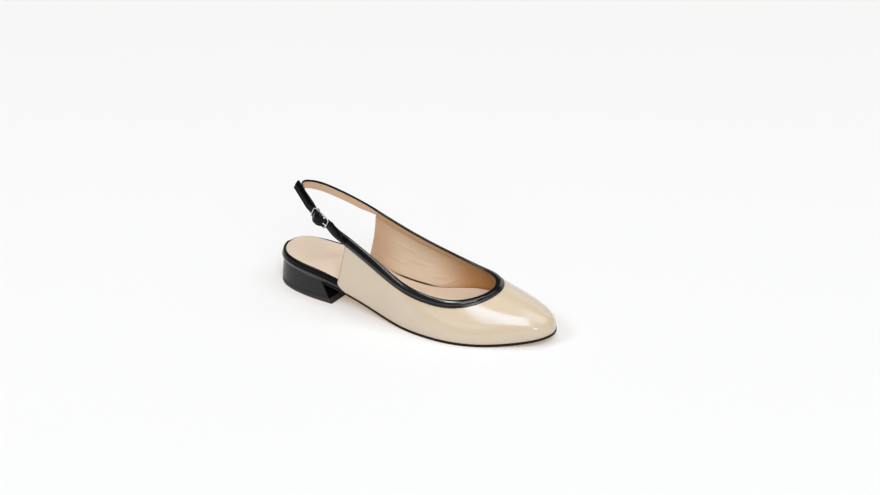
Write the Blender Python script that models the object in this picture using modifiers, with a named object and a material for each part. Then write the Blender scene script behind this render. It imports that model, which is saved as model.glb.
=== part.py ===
"""Slingback ballet flat for the right foot, with a low block heel and a buckled heel strap.

Sizes are millimetres and MM turns them into metres. The shoe's own frame has x from the back
of the heel towards the toe, y towards the inner side of the foot and z up from the floor. At
the end the whole shoe is set with the middle of its box over the origin.
"""
import math
from collections import namedtuple

import bmesh
import bpy
import numpy as np
from mathutils import Matrix, Vector

for old in list(bpy.data.objects):
    bpy.data.objects.remove(old, do_unlink=True)

MM = 0.001
GAP = 0.3

# Fineness: sections and columns of each loft and shell
SOLE_SECTIONS = 34
BED_SECTIONS = 40
RAND_SECTIONS = 44
HEEL_POINTS = 34
UPPER_COLUMNS = 62
UPPER_ROWS = 14
BINDING_ROWS = 5
SLING_ROWS = 44
LEAD_ROWS = 8
WEAVE_ROWS = 19

# Last and sole
LENGTH = 250.0
BALL_WIDTH = 80.0
INSTEP_HEIGHT = 74.0
SEAT_HEIGHT = 22.0
SEAT_PITCH = 0.045
ARCH_START = 42.0
BALL_START = 142.0
SPRING_START = 198.0
TOE_SPRING = 5.6
SOLE_THICKNESS = 1.9
WAIST_SOLE_THICKNESS = 1.3
SOLE_REAR = 59.5
SEAT_BED = 8.2
FORE_BED = 2.4
SEAT_BED_INSET = 3.0
FORE_BED_INSET = 2.0
BED_FALL_START = 58.0
BED_FALL = 42.0
BED_STEP_START = 70.0
BED_STEP = 16.0
BED_RIM = 1.0
BED_ROUND = 0.8
BED_DISH = 0.7
BED_CUP = 4.4
BED_CUP_START = 126.0
BED_CUP_FULL = 166.0
BED_CUP_FADE = 206.0
BED_CUP_END = 242.0
BED_ACROSS = (0.0, 0.07, 0.22, 0.5, 0.78, 0.93, 1.0)
SOLE_INSET = 0.3
SOLE_UNDER_INSET = 1.1
SOLE_BEVEL = 0.7
SOLE_TIP = 0.985
BED_HEEL_TIP = 0.035
BED_TOE_TIP = 0.972

# Heel
LIFT_HEIGHT = 4.5
LIFT_BEVEL = 0.5
HEEL_TOP_INSET = 0.7
HEEL_FOOT_INSET = -0.9
BREAST_TOP = 56.5
BREAST_FOOT = 67.0
HEEL_AXIS_Y = -5.0
HEEL_TURN = 0.115
HEEL_HOLLOW = 0.18
HEEL_LEVELS = (0.0, 0.12, 0.5, 0.85, 1.0)
RAND_THICKNESS = 2.6
RAND_CLEARANCE = 0.8

# Upper and binding
WALL = 1.4
BINDING_WIDTH = 5.6
BINDING_THICKNESS = 0.9
QUARTER_CORNER = 22.0
QUARTER_ROUND = 8.0

# Straps and buckle, with depths counted outward from the plane of the buckle's frame
HEEL_STRAP_WIDTH = 6.6
BUCKLE_STRAP_WIDTH = 7.8
STRAP_THICKNESS = 1.5
WIRE = 0.75
CENTRE_BAR = 0.6
FRAME_HALF_LENGTH = 8.25
FRAME_HALF_WIDTH = 5.2
FRAME_CORNER = 2.0
PRONG_LENGTH = 7.0
PRONG_TIP = 0.4
PRONG_ROOT = 0.55
PRONG_MIDDLE = -6.2
PRONG_OUT = 1.65
PRONG_HOLE = 0.95
PRONG_HOLE_LENGTH = 4.6
PRONG_HOLE_MIDDLE = -4.3
TURN_RADIUS = WIRE + GAP + STRAP_THICKNESS / 2
BAR_LAP = TURN_RADIUS + STRAP_THICKNESS + GAP + 0.05
BAR_DIP = -TURN_RADIUS - 0.05
LAP_FLAT = 1.2
SLING_DEPTH = BAR_DIP - STRAP_THICKNESS - GAP
FOLD_DEPTH = SLING_DEPTH - STRAP_THICKNESS - GAP
SLING_LIFT = 1.3
WEAVE_LEAD = 2.0
WEAVE_EXIT = 1.5
BUCKLE_CENTRE = Vector((51.0, -26.6, 75.7))
BUCKLE_RUN = Vector((-0.871, 0.130, 0.472)).normalized()
BUCKLE_OUT = Vector((-BUCKLE_RUN.y, BUCKLE_RUN.x, 0.0)).normalized()
BUCKLE_ACROSS = BUCKLE_OUT.cross(BUCKLE_RUN) * -1.0

# Plan outline of the last: shares of LENGTH and of half BALL_WIDTH, inner side positive
Outline = namedtuple("Outline", "place along side")
OUTLINE = [
    Outline("outer breast", 0.240, -0.785),
    Outline("outer waist", 0.392, -0.800),
    Outline("outer ball", 0.600, -1.005),
    Outline("outer tread", 0.744, -0.940),
    Outline("outer toe", 0.888, -0.520),
    Outline("toe", 1.000, 0.180),
    Outline("inner toe", 0.930, 0.800),
    Outline("inner tread", 0.790, 0.985),
    Outline("inner ball", 0.640, 0.950),
    Outline("inner waist", 0.420, 0.638),
    Outline("inner breast", 0.240, 0.530),
    Outline("inner seat", 0.110, 0.495),
    Outline("inner back", 0.032, 0.365),
    Outline("back", 0.004, -0.025),
    Outline("outer back", 0.034, -0.480),
    Outline("outer seat", 0.120, -0.720),
]

# Upper: collar edge as shares of LENGTH, half BALL_WIDTH and INSTEP_HEIGHT, then the wall's
# lean at the sole and slope at the collar in degrees, each with the length of its pull
Section = namedtuple("Section", "place along side rise lean foot_pull slope top_pull")
SECTIONS = [
    Section("outer breast", 0.240, -0.730, 0.993, 92.0, 15.0, 88.0, 15.0),
    Section("outer waist", 0.400, -0.775, 0.730, 98.0, 14.0, 85.0, 14.0),
    Section("outer ball", 0.560, -0.812, 0.490, 98.0, 11.0, 68.0, 11.0),
    Section("outer tread", 0.672, -0.725, 0.438, 97.0, 10.0, 52.0, 12.0),
    Section("outer toe", 0.758, -0.420, 0.466, 97.0, 12.0, 36.0, 18.0),
    Section("toe", 0.792, 0.090, 0.495, 98.0, 19.0, 22.0, 24.0),
    Section("inner toe", 0.766, 0.495, 0.490, 97.0, 14.0, 34.0, 16.0),
    Section("inner tread", 0.692, 0.715, 0.492, 97.0, 13.0, 56.0, 12.0),
    Section("inner ball", 0.592, 0.778, 0.540, 98.0, 13.0, 74.0, 12.0),
    Section("inner waist", 0.416, 0.662, 0.739, 98.0, 15.0, 86.0, 14.0),
    Section("inner breast", 0.240, 0.570, 0.943, 92.0, 15.0, 90.0, 15.0),
]

# Quarter's back edge on each side: where it stands, its rake and bow as it rises, its rounded
# lower corner, and the height above which it is cut square to the strap
BackEdge = namedtuple("BackEdge", "x rake bow round strap_line strap_rake")
BACK_EDGES = {
    -1: BackEdge(69.6, 0.198, 0.0, 8.0, 58.5, 0.59),
    1: BackEdge(69.7, 0.137, 0.9, 8.0, 60.0, 0.36),
}

# Middle line of the heel strap, from the inner quarter round the heel to the buckle
Stop = namedtuple("Stop", "place x y z")
HEEL_STRAP = [
    Stop("inner quarter", 74.6, 24.5, 63.0),
    Stop("inner side", 53.0, 22.0, 70.8),
    Stop("inner bend", 36.0, 15.4, 78.9),
    Stop("inner back", 24.5, 5.0, 86.0),
    Stop("back", 20.8, -3.0, 88.4),
    Stop("outer back", 24.5, -10.5, 88.5),
    Stop("outer bend", 33.5, -17.2, 85.2),
]
BUCKLE_STRAP = [
    Stop("outer quarter", 78.0, -30.6, 61.2),
    Stop("outer side", 67.5, -28.8, 67.6),
]
TAIL_END = Vector((24.0, -16.5, 95.5))

# Heel strap at the buckle: how it comes up to the centre bar, and how it lies once turned back
Fold = namedtuple("Fold", "place along out")
FOLD_UP = [
    Fold("rear bar", FRAME_HALF_LENGTH, SLING_DEPTH),
    Fold("rise", 5.0, SLING_DEPTH + SLING_LIFT),
]
FOLD_CREST = Fold("crest", 2.6, 0.5)
FOLD_TURN = np.radians(np.linspace(122.0, -118.0, 10))
FOLD_BACK = [
    Fold("under bar", 2.8, -2.6),
    Fold("fall", 5.0, SLING_DEPTH + SLING_LIFT - STRAP_THICKNESS - 2 * GAP),
    Fold("end", 7.4, FOLD_DEPTH + 0.3),
]

# Section of the rand, from its outer foot over the top to its inner foot: inset from the
# outline and height over the sole
Band = namedtuple("Band", "place inset height")
RAND = [
    Band("outer foot", 0.0, GAP),
    Band("outer swell", -0.2, 1.6),
    Band("fullest", -0.3, 3.2),
    Band("shoulder", -0.1, 5.4),
    Band("outer round", 0.5, 7.2),
    Band("crown", 1.4, 8.4),
    Band("inner round", 2.2, 8.6),
    Band("inner edge", RAND_THICKNESS, 7.8),
    Band("inner face", RAND_THICKNESS, 3.2),
    Band("inner heel", RAND_THICKNESS, 1.6),
    Band("inner foot", RAND_THICKNESS, GAP),
]


def spline(knots, rows, closed=False):
    """Cubic spline with continuous curvature through the rows, as a function of the knots."""
    knots = np.asarray(knots, float)
    rows = np.asarray(rows, float)
    gaps = np.diff(knots)
    count = len(rows)
    system = np.eye(count)
    load = np.zeros_like(rows)
    for i in range(count) if closed else range(1, count - 1):
        before, after = gaps[i - 1], gaps[i]
        last, following = i - 1, (i + 1) % count
        system[i, i] = 2.0 * (before + after)
        system[i, last] = before
        system[i, following] = after
        load[i] = 6.0 * ((rows[following] - rows[i]) / after - (rows[i] - rows[last]) / before)
    bend = np.linalg.solve(system, load)
    if closed:
        rows = np.vstack([rows, rows[:1]])
        bend = np.vstack([bend, bend[:1]])

    def at(s):
        s = np.asarray(s, float)
        if closed:
            s = np.mod(s, knots[-1])
        i = np.clip(np.searchsorted(knots, s, side="right") - 1, 0, len(gaps) - 1)
        step = gaps[i][..., None]
        b = ((s - knots[i]) / gaps[i])[..., None]
        a = 1.0 - b
        curve = ((a ** 3 - a) * bend[i] + (b ** 3 - b) * bend[i + 1]) * step ** 2 / 6.0
        return a * rows[i] + b * rows[i + 1] + curve

    return at


def lengths(points, closed=False):
    """Running length along a row of points."""
    points = np.asarray(points, float)
    if closed:
        points = np.vstack([points, points[:1]])
    steps = np.linalg.norm(np.diff(points, axis=0), axis=1)
    return np.concatenate([[0.0], np.cumsum(steps)])


def ease(share):
    """Smooth rise from 0 to 1."""
    share = np.clip(share, 0.0, 1.0)
    return share * share * (3.0 - 2.0 * share)


OUTLINE_POINTS = np.array([(r.along * LENGTH, r.side * BALL_WIDTH / 2) for r in OUTLINE])
KNOTS = lengths(OUTLINE_POINTS, closed=True)
AROUND = KNOTS[-1]
PLACES = {row.place: KNOTS[i] for i, row in enumerate(OUTLINE)}
plan = spline(KNOTS, OUTLINE_POINTS, closed=True)
UPPER_KNOTS = KNOTS[:len(SECTIONS)]
collar = spline(UPPER_KNOTS, [
    (r.along * LENGTH, r.side * BALL_WIDTH / 2, r.rise * INSTEP_HEIGHT) for r in SECTIONS])
profile = spline(UPPER_KNOTS, [(r.lean, r.foot_pull, r.slope, r.top_pull) for r in SECTIONS])


def inward(curve, s):
    """Level direction from a counter-clockwise curve towards its inside."""
    run = (curve(s + 0.4) - curve(s - 0.4))[..., :2]
    run = run / np.linalg.norm(run, axis=-1, keepdims=True)
    return np.stack([-run[..., 1], run[..., 0], np.zeros(run.shape[:-1])], axis=-1)


def edge(s, inset=0.0):
    """Point of the plan outline, moved inward by the inset."""
    return plan(s) + inward(plan, s)[..., :2] * inset


def bed(x):
    """Height of the outsole's upper face: level seat, arch, level tread and toe spring."""
    seat = SEAT_HEIGHT - SEAT_PITCH * x
    fall = ease((x - ARCH_START) / (BALL_START - ARCH_START))
    spring = np.clip((x - SPRING_START) / (LENGTH - SPRING_START), 0.0, None)
    return seat + (SOLE_THICKNESS - seat) * fall + TOE_SPRING * spring ** 2


def sole_thickness(x):
    """Outsole thickness, thinned from the tread to the heel breast."""
    share = ease((x - SOLE_REAR) / (BALL_START - SOLE_REAR))
    return WAIST_SOLE_THICKNESS + (SOLE_THICKNESS - WAIST_SOLE_THICKNESS) * share


def bed_thickness(x):
    """Footbed thickness, full at the seat and thin under the forefoot."""
    return SEAT_BED + (FORE_BED - SEAT_BED) * ease((x - BED_FALL_START) / BED_FALL)


def bed_cup(x):
    """Rise of the footbed's edges against the wall, over the forefoot."""
    rise = ease((x - BED_CUP_START) / (BED_CUP_FULL - BED_CUP_START))
    fade = ease((x - BED_CUP_FADE) / (BED_CUP_END - BED_CUP_FADE))
    return BED_CUP * rise * (1.0 - fade)


def bed_inset(s):
    """Distance of the footbed's edge from the outline: behind the rand, then behind the wall."""
    share = ease((plan(s)[..., :1] - BED_STEP_START) / BED_STEP)
    return SEAT_BED_INSET + (FORE_BED_INSET - SEAT_BED_INSET) * share


def raised(points, height):
    """Plan points given a height each."""
    height = np.broadcast_to(np.asarray(height, float), points.shape[:-1])
    return np.concatenate([points, height[..., None]], axis=-1)


def wall(s, t):
    """Outer face of the upper: s runs along the sole's edge, t from the sole to the collar."""
    s, t = np.broadcast_arrays(np.asarray(s, float), np.asarray(t, float))
    foot = plan(s)
    foot = raised(foot, bed(foot[..., 0]) + GAP)
    top = collar(s)
    lean, foot_pull, slope, top_pull = np.moveaxis(profile(s), -1, 0)
    lean, slope = np.radians(lean), np.radians(slope)
    up = np.array([0.0, 0.0, 1.0])
    low = inward(plan, s) * np.cos(lean)[..., None] + up * np.sin(lean)[..., None]
    high = inward(collar, s) * np.cos(slope)[..., None] + up * np.sin(slope)[..., None]
    low = foot + low * foot_pull[..., None]
    high = top - high * top_pull[..., None]
    t = t[..., None]
    r = 1.0 - t
    return r ** 3 * foot + 3 * r * r * t * low + 3 * r * t * t * high + t ** 3 * top


def wall_out(s, t):
    """Direction square to the upper's outer face."""
    along = wall(s + 0.3, t) - wall(s - 0.3, t)
    rise = wall(s, t + 0.004) - wall(s, t - 0.004)
    out = np.cross(along, rise)
    return out / np.linalg.norm(out, axis=-1, keepdims=True)


def back_edge(z, side):
    """Where the quarter ends at a height, with its lower corner rounded off."""
    row = BACK_EDGES[side]
    below = np.clip(QUARTER_CORNER - z, 0.0, None) / QUARTER_ROUND
    above = np.clip(z - QUARTER_CORNER, 0.0, row.strap_line - QUARTER_CORNER)
    square = np.clip(z - row.strap_line, 0.0, None)
    bow = row.bow * np.sin(above / (row.strap_line - QUARTER_CORNER) * math.pi)
    return row.x + row.rake * above + bow + row.strap_rake * square + row.round * below ** 2


def halve(test, low, high):
    """Parameter at which a row of tests turns from false to true."""
    for _ in range(36):
        middle = (low + high) / 2
        passed = test(middle)
        high = np.where(passed, middle, high)
        low = np.where(passed, low, middle)
    return (low + high) / 2


def quarter_end(share, side):
    """Parameter along the sole's edge where the wall ends, at a share of its height."""
    def ahead(s):
        points = wall(s, share(s))
        return (points[..., 0] > back_edge(points[..., 2], side)) == (side < 0)

    first = PLACES["outer breast"] if side < 0 else PLACES["inner waist"]
    last = PLACES["outer waist"] if side < 0 else PLACES["inner breast"]
    return halve(ahead, np.array(first), np.array(last))


def between_ends(share, count):
    """Even parameters from one back edge to the other, at a share of the wall's height."""
    return np.linspace(quarter_end(share, -1), quarter_end(share, 1), count)


def edge_where(reached, side):
    """Parameter of the outline on one side of the heel where a test of x and y turns true."""
    back = PLACES["back"]
    ahead = AROUND + PLACES["outer ball"] if side < 0 else PLACES["inner ball"]
    low, high = (back, ahead) if side < 0 else (ahead, back)
    return halve(lambda s: reached(*np.moveaxis(plan(s), -1, 0)) == (side < 0),
                 np.array(low), np.array(high))


def breast_line(x, y):
    """Place along the heel's own axis, which turns outward from the shoe's."""
    return x - HEEL_TURN * (y - HEEL_AXIS_Y)


def edge_at(place, side):
    """Parameter of the outline on one side, at a place along the heel's axis."""
    return edge_where(lambda x, y: breast_line(x, y) > place, side)


def edge_behind(height, side):
    """Parameter of the outline just behind the quarter's back edge, at a height over the sole."""
    return edge_where(lambda x, y: x > back_edge(bed(x) + height, side) - RAND_CLEARANCE, side)


def grid(points):
    """Grid of faces whose corners stand on an array of points, columns first."""
    rows, columns = points.shape[1], points.shape[0]
    mesh = bmesh.new()
    bmesh.ops.create_grid(mesh, x_segments=columns - 1, y_segments=rows - 1, size=1.0)
    flat = np.swapaxes(points, 0, 1).reshape(-1, 3) * MM
    for vertex, place in zip(mesh.verts, flat):
        vertex.co = place
    return mesh


def finish(name, mesh, material):
    """Object of a finished mesh in the shoe's collection."""
    data = bpy.data.meshes.new(name)
    mesh.to_mesh(data)
    mesh.free()
    shape = bpy.data.objects.new(name, data)
    data.materials.append(material)
    shoe.objects.link(shape)
    shape.parent = root
    return shape


def shell(name, points, thickness, offset, material):
    """Open sheet given a thickness: offset -1 grows it inward, 1 outward, 0 both ways."""
    shape = finish(name, grid(points), material)
    solid = shape.modifiers.new("thickness", "SOLIDIFY")
    solid.thickness = thickness * MM
    solid.offset = offset
    solid.use_even_offset = True
    return shape


def loft(name, sections, material):
    """Solid through closed sections, its two ends filled."""
    closed = np.concatenate([sections, sections[:, :1]], axis=1)
    mesh = grid(closed)
    bmesh.ops.remove_doubles(mesh, verts=mesh.verts, dist=1e-6)
    rim = [line for line in mesh.edges if line.is_boundary]
    ends = bmesh.ops.holes_fill(mesh, edges=rim, sides=0)["faces"]
    bmesh.ops.triangulate(mesh, faces=ends, ngon_method="BEAUTY")
    bmesh.ops.recalc_face_normals(mesh, faces=mesh.faces)
    return finish(name, mesh, material)


def paint(name, colour, roughness, metallic=0.0):
    """Plain material of one part."""
    material = bpy.data.materials.new(name)
    material.use_nodes = True
    shader = material.node_tree.nodes["Principled BSDF"]
    shader.inputs["Base Color"].default_value = (*colour, 1.0)
    shader.inputs["Roughness"].default_value = roughness
    shader.inputs["Metallic"].default_value = metallic
    return material


def chords(rear, inset, shares):
    """Pairs of outline points from the rear to the toe, outer and inner, as plan arrays."""
    outer_rear, inner_rear = edge_at(rear, -1), edge_at(rear, 1)
    toe = PLACES["toe"]
    outer = edge(outer_rear + (AROUND + toe - outer_rear) * shares, inset)
    inner = edge(inner_rear + (toe - inner_rear) * shares, inset)
    return outer, inner


def across(outer, inner, share):
    """Plan points a share of the way from the outer to the inner side."""
    return outer + (inner - outer) * share


def build_outsole():
    """Thin sole from the heel breast to the toe."""
    shares = np.sin(np.linspace(0.0, SOLE_TIP, SOLE_SECTIONS) * math.pi / 2)
    outer, inner = chords(SOLE_REAR, SOLE_INSET, shares)
    low_outer, low_inner = chords(SOLE_REAR, SOLE_UNDER_INSET, shares)

    def top(points):
        return raised(points, bed(points[..., 0]))

    def under(points, lift=0.0):
        return raised(points, bed(points[..., 0]) - sole_thickness(points[..., 0]) + lift)

    loop = [
        under(low_outer), under(outer, SOLE_BEVEL), top(outer),
        top(across(outer, inner, 1 / 3)), top(across(outer, inner, 2 / 3)),
        top(inner), under(inner, SOLE_BEVEL), under(low_inner),
        under(across(low_outer, low_inner, 2 / 3)), under(across(low_outer, low_inner, 1 / 3)),
    ]
    return loft("outsole", np.stack(loop, axis=1), paint("outsole", (0.045, 0.032, 0.026), 0.5))


def build_insole():
    """Footbed over the whole length, thick at the seat, its forefoot edges cupped to the wall."""
    half = (1.0 - np.cos(np.linspace(BED_HEEL_TIP, BED_TOE_TIP, BED_SECTIONS) * math.pi)) / 2
    back, toe = PLACES["back"], PLACES["toe"]
    outer_s = back + (AROUND + toe - back) * half
    inner_s = back + (toe - back) * half
    outer, inner = edge(outer_s, bed_inset(outer_s)), edge(inner_s, bed_inset(inner_s))
    rim_outer = edge(outer_s, bed_inset(outer_s) + BED_RIM)
    rim_inner = edge(inner_s, bed_inset(inner_s) + BED_RIM)

    def top(points, drop, share):
        x = points[..., 0]
        cup = bed_cup(x) * abs(2.0 * share - 1.0) ** 5
        return raised(points, bed(x) + bed_thickness(x) + cup - drop)

    def under(points):
        return raised(points, bed(points[..., 0]) + GAP)

    def dish(share):
        return BED_DISH * math.sin(math.pi * share)

    loop = [
        under(outer), top(outer, BED_ROUND, 0.0),
        *(top(across(rim_outer, rim_inner, share), dish(share), share) for share in BED_ACROSS),
        top(inner, BED_ROUND, 1.0), under(inner),
        under(across(outer, inner, 2 / 3)), under(across(outer, inner, 1 / 3)),
    ]
    return loft("insole", np.stack(loop, axis=1), paint("insole", (0.60, 0.41, 0.29), 0.55))


def build_rand():
    """Wrapped band round the open seat, ending against the quarters' back edges."""
    loop = []
    for row in RAND:
        s = np.linspace(edge_behind(row.height, 1), edge_behind(row.height, -1), RAND_SECTIONS)
        points = edge(s, row.inset)
        loop.append(raised(points, bed(points[..., 0]) + row.height))
    return loft("heel_rand", np.stack(loop, axis=1), paint("heel_rand", (0.02, 0.02, 0.021), 0.35))


def heel_section(inset, breast, height):
    """Level cut of the heel: round at the back, straight across the breast."""
    inner, outer = edge_at(breast, 1), edge_at(breast, -1)
    points = edge(inner + (outer - inner) * np.linspace(0.0, 1.0, HEEL_POINTS), inset)
    points[..., 0] -= np.clip(breast_line(*points.T) - breast, 0.0, None)
    return raised(points, height(points[..., 0]))


def build_heel():
    """Block heel with a slanted breast and, under it, the top lift."""
    def breast(height):
        return BREAST_FOOT + (BREAST_TOP - BREAST_FOOT) * height / SEAT_HEIGHT

    block = []
    for share in HEEL_LEVELS:
        inset = HEEL_FOOT_INSET + (HEEL_TOP_INSET - HEEL_FOOT_INSET) * share ** 1.5
        inset += HEEL_HOLLOW * math.sin(share * math.pi)
        height = LIFT_HEIGHT + (SEAT_HEIGHT - GAP - LIFT_HEIGHT) * share

        def level(x, share=share):
            return LIFT_HEIGHT + (bed(x) - GAP - LIFT_HEIGHT) * share

        block.append(heel_section(inset, breast(height), level))
    loft("heel_block", np.stack(block), paint("heel_block", (0.018, 0.018, 0.019), 0.2))
    lift = []
    for height, inset in ((0.0, LIFT_BEVEL), (LIFT_BEVEL, 0.0), (LIFT_HEIGHT - GAP, 0.0)):
        lift.append(heel_section(HEEL_FOOT_INSET + inset, breast(height),
                                 lambda x, height=height: np.full_like(x, height)))
    loft("top_lift", np.stack(lift), paint("top_lift", (0.022, 0.022, 0.023), 0.6))


def build_upper():
    """Hollow vamp and quarters in one wall, open at the collar, back and sole."""
    rows = []
    for t in np.linspace(0.0, 1.0, UPPER_ROWS) ** 1.2:
        s = between_ends(lambda s, t=t: t, UPPER_COLUMNS)
        rows.append(wall(s, t))
    points = np.stack(rows, axis=1)
    return shell("upper", points, WALL, -1.0, paint("upper", (0.74, 0.62, 0.47), 0.3))


def below_collar(down):
    """Share of the wall's height a distance below the collar, as a function along it."""
    def share(s):
        span = np.linalg.norm(wall(s, 1.0) - wall(s, 0.9), axis=-1) / 0.1
        return 1.0 - down / span

    return share


def build_binding():
    """Folded strip over the collar, outside of the wall and across its edge."""
    loop = []
    for down in np.linspace(BINDING_WIDTH, 0.0, BINDING_ROWS):
        share = below_collar(down)
        s = between_ends(share, UPPER_COLUMNS)
        loop.append(wall(s, share(s)) + wall_out(s, share(s)) * GAP)
    rise = wall(s, 1.0) - wall(s, 0.99)
    rise = rise / np.linalg.norm(rise, axis=-1, keepdims=True) * GAP
    loop[-1] = loop[-1] + rise
    loop.append(wall(s, 1.0) + rise - wall_out(s, 1.0) * (WALL + 0.1))
    points = np.stack(loop, axis=1)
    return shell("topline_binding", points, BINDING_THICKNESS, 1.0,
                 paint("topline_binding", (0.02, 0.02, 0.021), 0.3))


def at_buckle(along, out=0.0, sideways=0.0):
    """Point in the buckle's own frame: along the strap, outward, and across it."""
    return (BUCKLE_CENTRE + BUCKLE_RUN * along + BUCKLE_OUT * out + BUCKLE_ACROSS * sideways)


def ribbon(path, width, fixed_from):
    """Strap surface along a path: upright, then square to the buckle from a row on."""
    path = np.asarray(path, float)
    run = np.gradient(path, axis=0)
    run = run / np.linalg.norm(run, axis=1, keepdims=True)
    up = np.array([0.0, 0.0, 1.0]) - run * run[:, 2:]
    up = up / np.linalg.norm(up, axis=1, keepdims=True)
    up[fixed_from:] = BUCKLE_ACROSS
    shares = np.linspace(-0.5, 0.5, 3)
    return path[:, None] + up[:, None] * shares[None, :, None] * width


def smooth_path(stops, count):
    """Even points on a spline through the stops."""
    knots = lengths(stops)
    return spline(knots, stops)(np.linspace(0.0, knots[-1], count))


def build_heel_strap(material):
    """Sling round the heel, its end taken over the centre bar and turned back inside."""
    stops = [(s.x, s.y, s.z) for s in HEEL_STRAP]
    stops += [tuple(at_buckle(row.along, row.out)) for row in FOLD_UP]
    sling = smooth_path(stops, SLING_ROWS)
    turn = [at_buckle(FOLD_CREST.along, FOLD_CREST.out)]
    for angle in FOLD_TURN:
        turn.append(at_buckle(-TURN_RADIUS * math.cos(angle), TURN_RADIUS * math.sin(angle)))
    turn += [at_buckle(row.along, row.out) for row in FOLD_BACK]
    path = np.vstack([sling, np.array([tuple(point) for point in turn])])
    points = ribbon(path, HEEL_STRAP_WIDTH, SLING_ROWS - 4)
    return shell("heel_strap", points, STRAP_THICKNESS, 0.0, material)


def build_buckle_strap(material):
    """Short strap woven under, over and under the buckle's bars, with a straight free tail."""
    weave = []
    first, last = -FRAME_HALF_LENGTH - WEAVE_LEAD, FRAME_HALF_LENGTH + WEAVE_EXIT
    for along in np.linspace(first, last, WEAVE_ROWS):
        share = (abs(along) - LAP_FLAT) / (FRAME_HALF_LENGTH - LAP_FLAT)
        share = min(max(share, 0.0), 1.0)
        out = BAR_DIP + (BAR_LAP - BAR_DIP) * (1.0 + math.cos(share * math.pi)) / 2
        weave.append(tuple(at_buckle(along, out)))
    stops = [(s.x, s.y, s.z) for s in BUCKLE_STRAP]
    lead = smooth_path(stops + weave[:1], LEAD_ROWS)[:-1]
    tail_start = Vector(weave[-1])
    tail = [tuple(tail_start.lerp(TAIL_END, share)) for share in (0.25, 0.5, 0.75, 1.0)]
    points = ribbon(np.vstack([lead, weave, tail]), BUCKLE_STRAP_WIDTH, LEAD_ROWS - 1)
    shape = shell("buckle_strap", points, STRAP_THICKNESS, 0.0, material)
    bpy.ops.mesh.primitive_cylinder_add(
        vertices=12, radius=PRONG_HOLE * MM, depth=PRONG_HOLE_LENGTH * MM)
    hole = bpy.context.object
    hole.name = "prong_hole"
    hole.matrix_world = along_run(PRONG_HOLE_MIDDLE, PRONG_OUT)
    combine(shape, hole, "DIFFERENCE")
    return shape


def combine(shape, tool, operation):
    """Cut a piece with a tool, or join the tool to it, and put the tool away."""
    cutters.objects.link(tool)
    bpy.context.scene.collection.objects.unlink(tool)
    tool.hide_render = True
    tool.display_type = "WIRE"
    tool.parent = root
    change = shape.modifiers.new(tool.name, "BOOLEAN")
    change.operation = operation
    change.solver = "EXACT"
    change.object = tool


def along_run(along, out):
    """Placement with the z axis along the strap at the buckle."""
    turn = Matrix((BUCKLE_ACROSS, BUCKLE_OUT, BUCKLE_ACROSS.cross(BUCKLE_OUT))).transposed()
    return Matrix.Translation(at_buckle(along, out) * MM) @ turn.to_4x4()


def build_buckle():
    """Wire frame with a centre bar, and the prong lying on its front bar."""
    steel = paint("buckle_frame", (0.78, 0.78, 0.80), 0.15, 1.0)
    curve = bpy.data.curves.new("buckle_wire", "CURVE")
    curve.dimensions = "3D"
    curve.bevel_depth = WIRE * MM
    curve.bevel_resolution = 1
    curve.resolution_u = 3
    ring = []
    for turn, (length, width) in enumerate(((1, 1), (-1, 1), (-1, -1), (1, -1))):
        for angle in np.radians(np.linspace(0.0, 90.0, 4) + 90.0 * turn):
            along = length * (FRAME_HALF_LENGTH - FRAME_CORNER) + FRAME_CORNER * math.cos(angle)
            sideways = width * (FRAME_HALF_WIDTH - FRAME_CORNER) + FRAME_CORNER * math.sin(angle)
            ring.append((along, sideways))
    line = curve.splines.new("POLY")
    line.points.add(len(ring) - 1)
    line.use_cyclic_u = True
    for point, (along, sideways) in zip(line.points, ring):
        point.co = (*(at_buckle(along, 0.0, sideways) * MM), 1.0)
    holder = bpy.data.objects.new("buckle_wire", curve)
    frame_mesh = bmesh.new()
    frame_mesh.from_mesh(holder.to_mesh())
    holder.to_mesh_clear()
    frame = finish("buckle_frame", frame_mesh, steel)
    bpy.data.objects.remove(holder)
    bpy.ops.mesh.primitive_cylinder_add(
        vertices=8, radius=CENTRE_BAR * MM, depth=2 * FRAME_HALF_WIDTH * MM)
    bar = bpy.context.object
    bar.name = "centre_bar"
    turn = Matrix((BUCKLE_RUN, BUCKLE_OUT, BUCKLE_RUN.cross(BUCKLE_OUT))).transposed()
    bar.matrix_world = Matrix.Translation(at_buckle(0.0) * MM) @ turn.to_4x4()
    combine(frame, bar, "UNION")
    bpy.ops.mesh.primitive_cone_add(
        vertices=10, radius1=PRONG_TIP * MM, radius2=PRONG_ROOT * MM, depth=PRONG_LENGTH * MM)
    prong = bpy.context.object
    prong.name = "buckle_prong"
    prong.data.materials.append(paint("buckle_prong", (0.78, 0.78, 0.80), 0.15, 1.0))
    prong.matrix_world = along_run(PRONG_MIDDLE, PRONG_OUT)
    shoe.objects.link(prong)
    bpy.context.scene.collection.objects.unlink(prong)
    prong.parent = root
    return frame, prong


def centre():
    """Move the shoe so that the middle of its box stands over the origin."""
    bpy.context.view_layer.update()
    graph = bpy.context.evaluated_depsgraph_get()
    corners = []
    for shape in shoe.objects:
        if shape.type == "MESH":
            solid = shape.evaluated_get(graph)
            corners += [solid.matrix_world @ vertex.co for vertex in solid.data.vertices]
    corners = np.array([tuple(corner) for corner in corners])
    low, high = corners.min(axis=0), corners.max(axis=0)
    root.location = (-(low[0] + high[0]) / 2, -(low[1] + high[1]) / 2, 0.0)


shoe = bpy.data.collections.new("ballet_flat")
cutters = bpy.data.collections.new("cutters")
bpy.context.scene.collection.children.link(shoe)
bpy.context.scene.collection.children.link(cutters)
bpy.context.view_layer.active_layer_collection = bpy.context.view_layer.layer_collection
root = bpy.data.objects.new("shoe_root", None)
shoe.objects.link(root)

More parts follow.
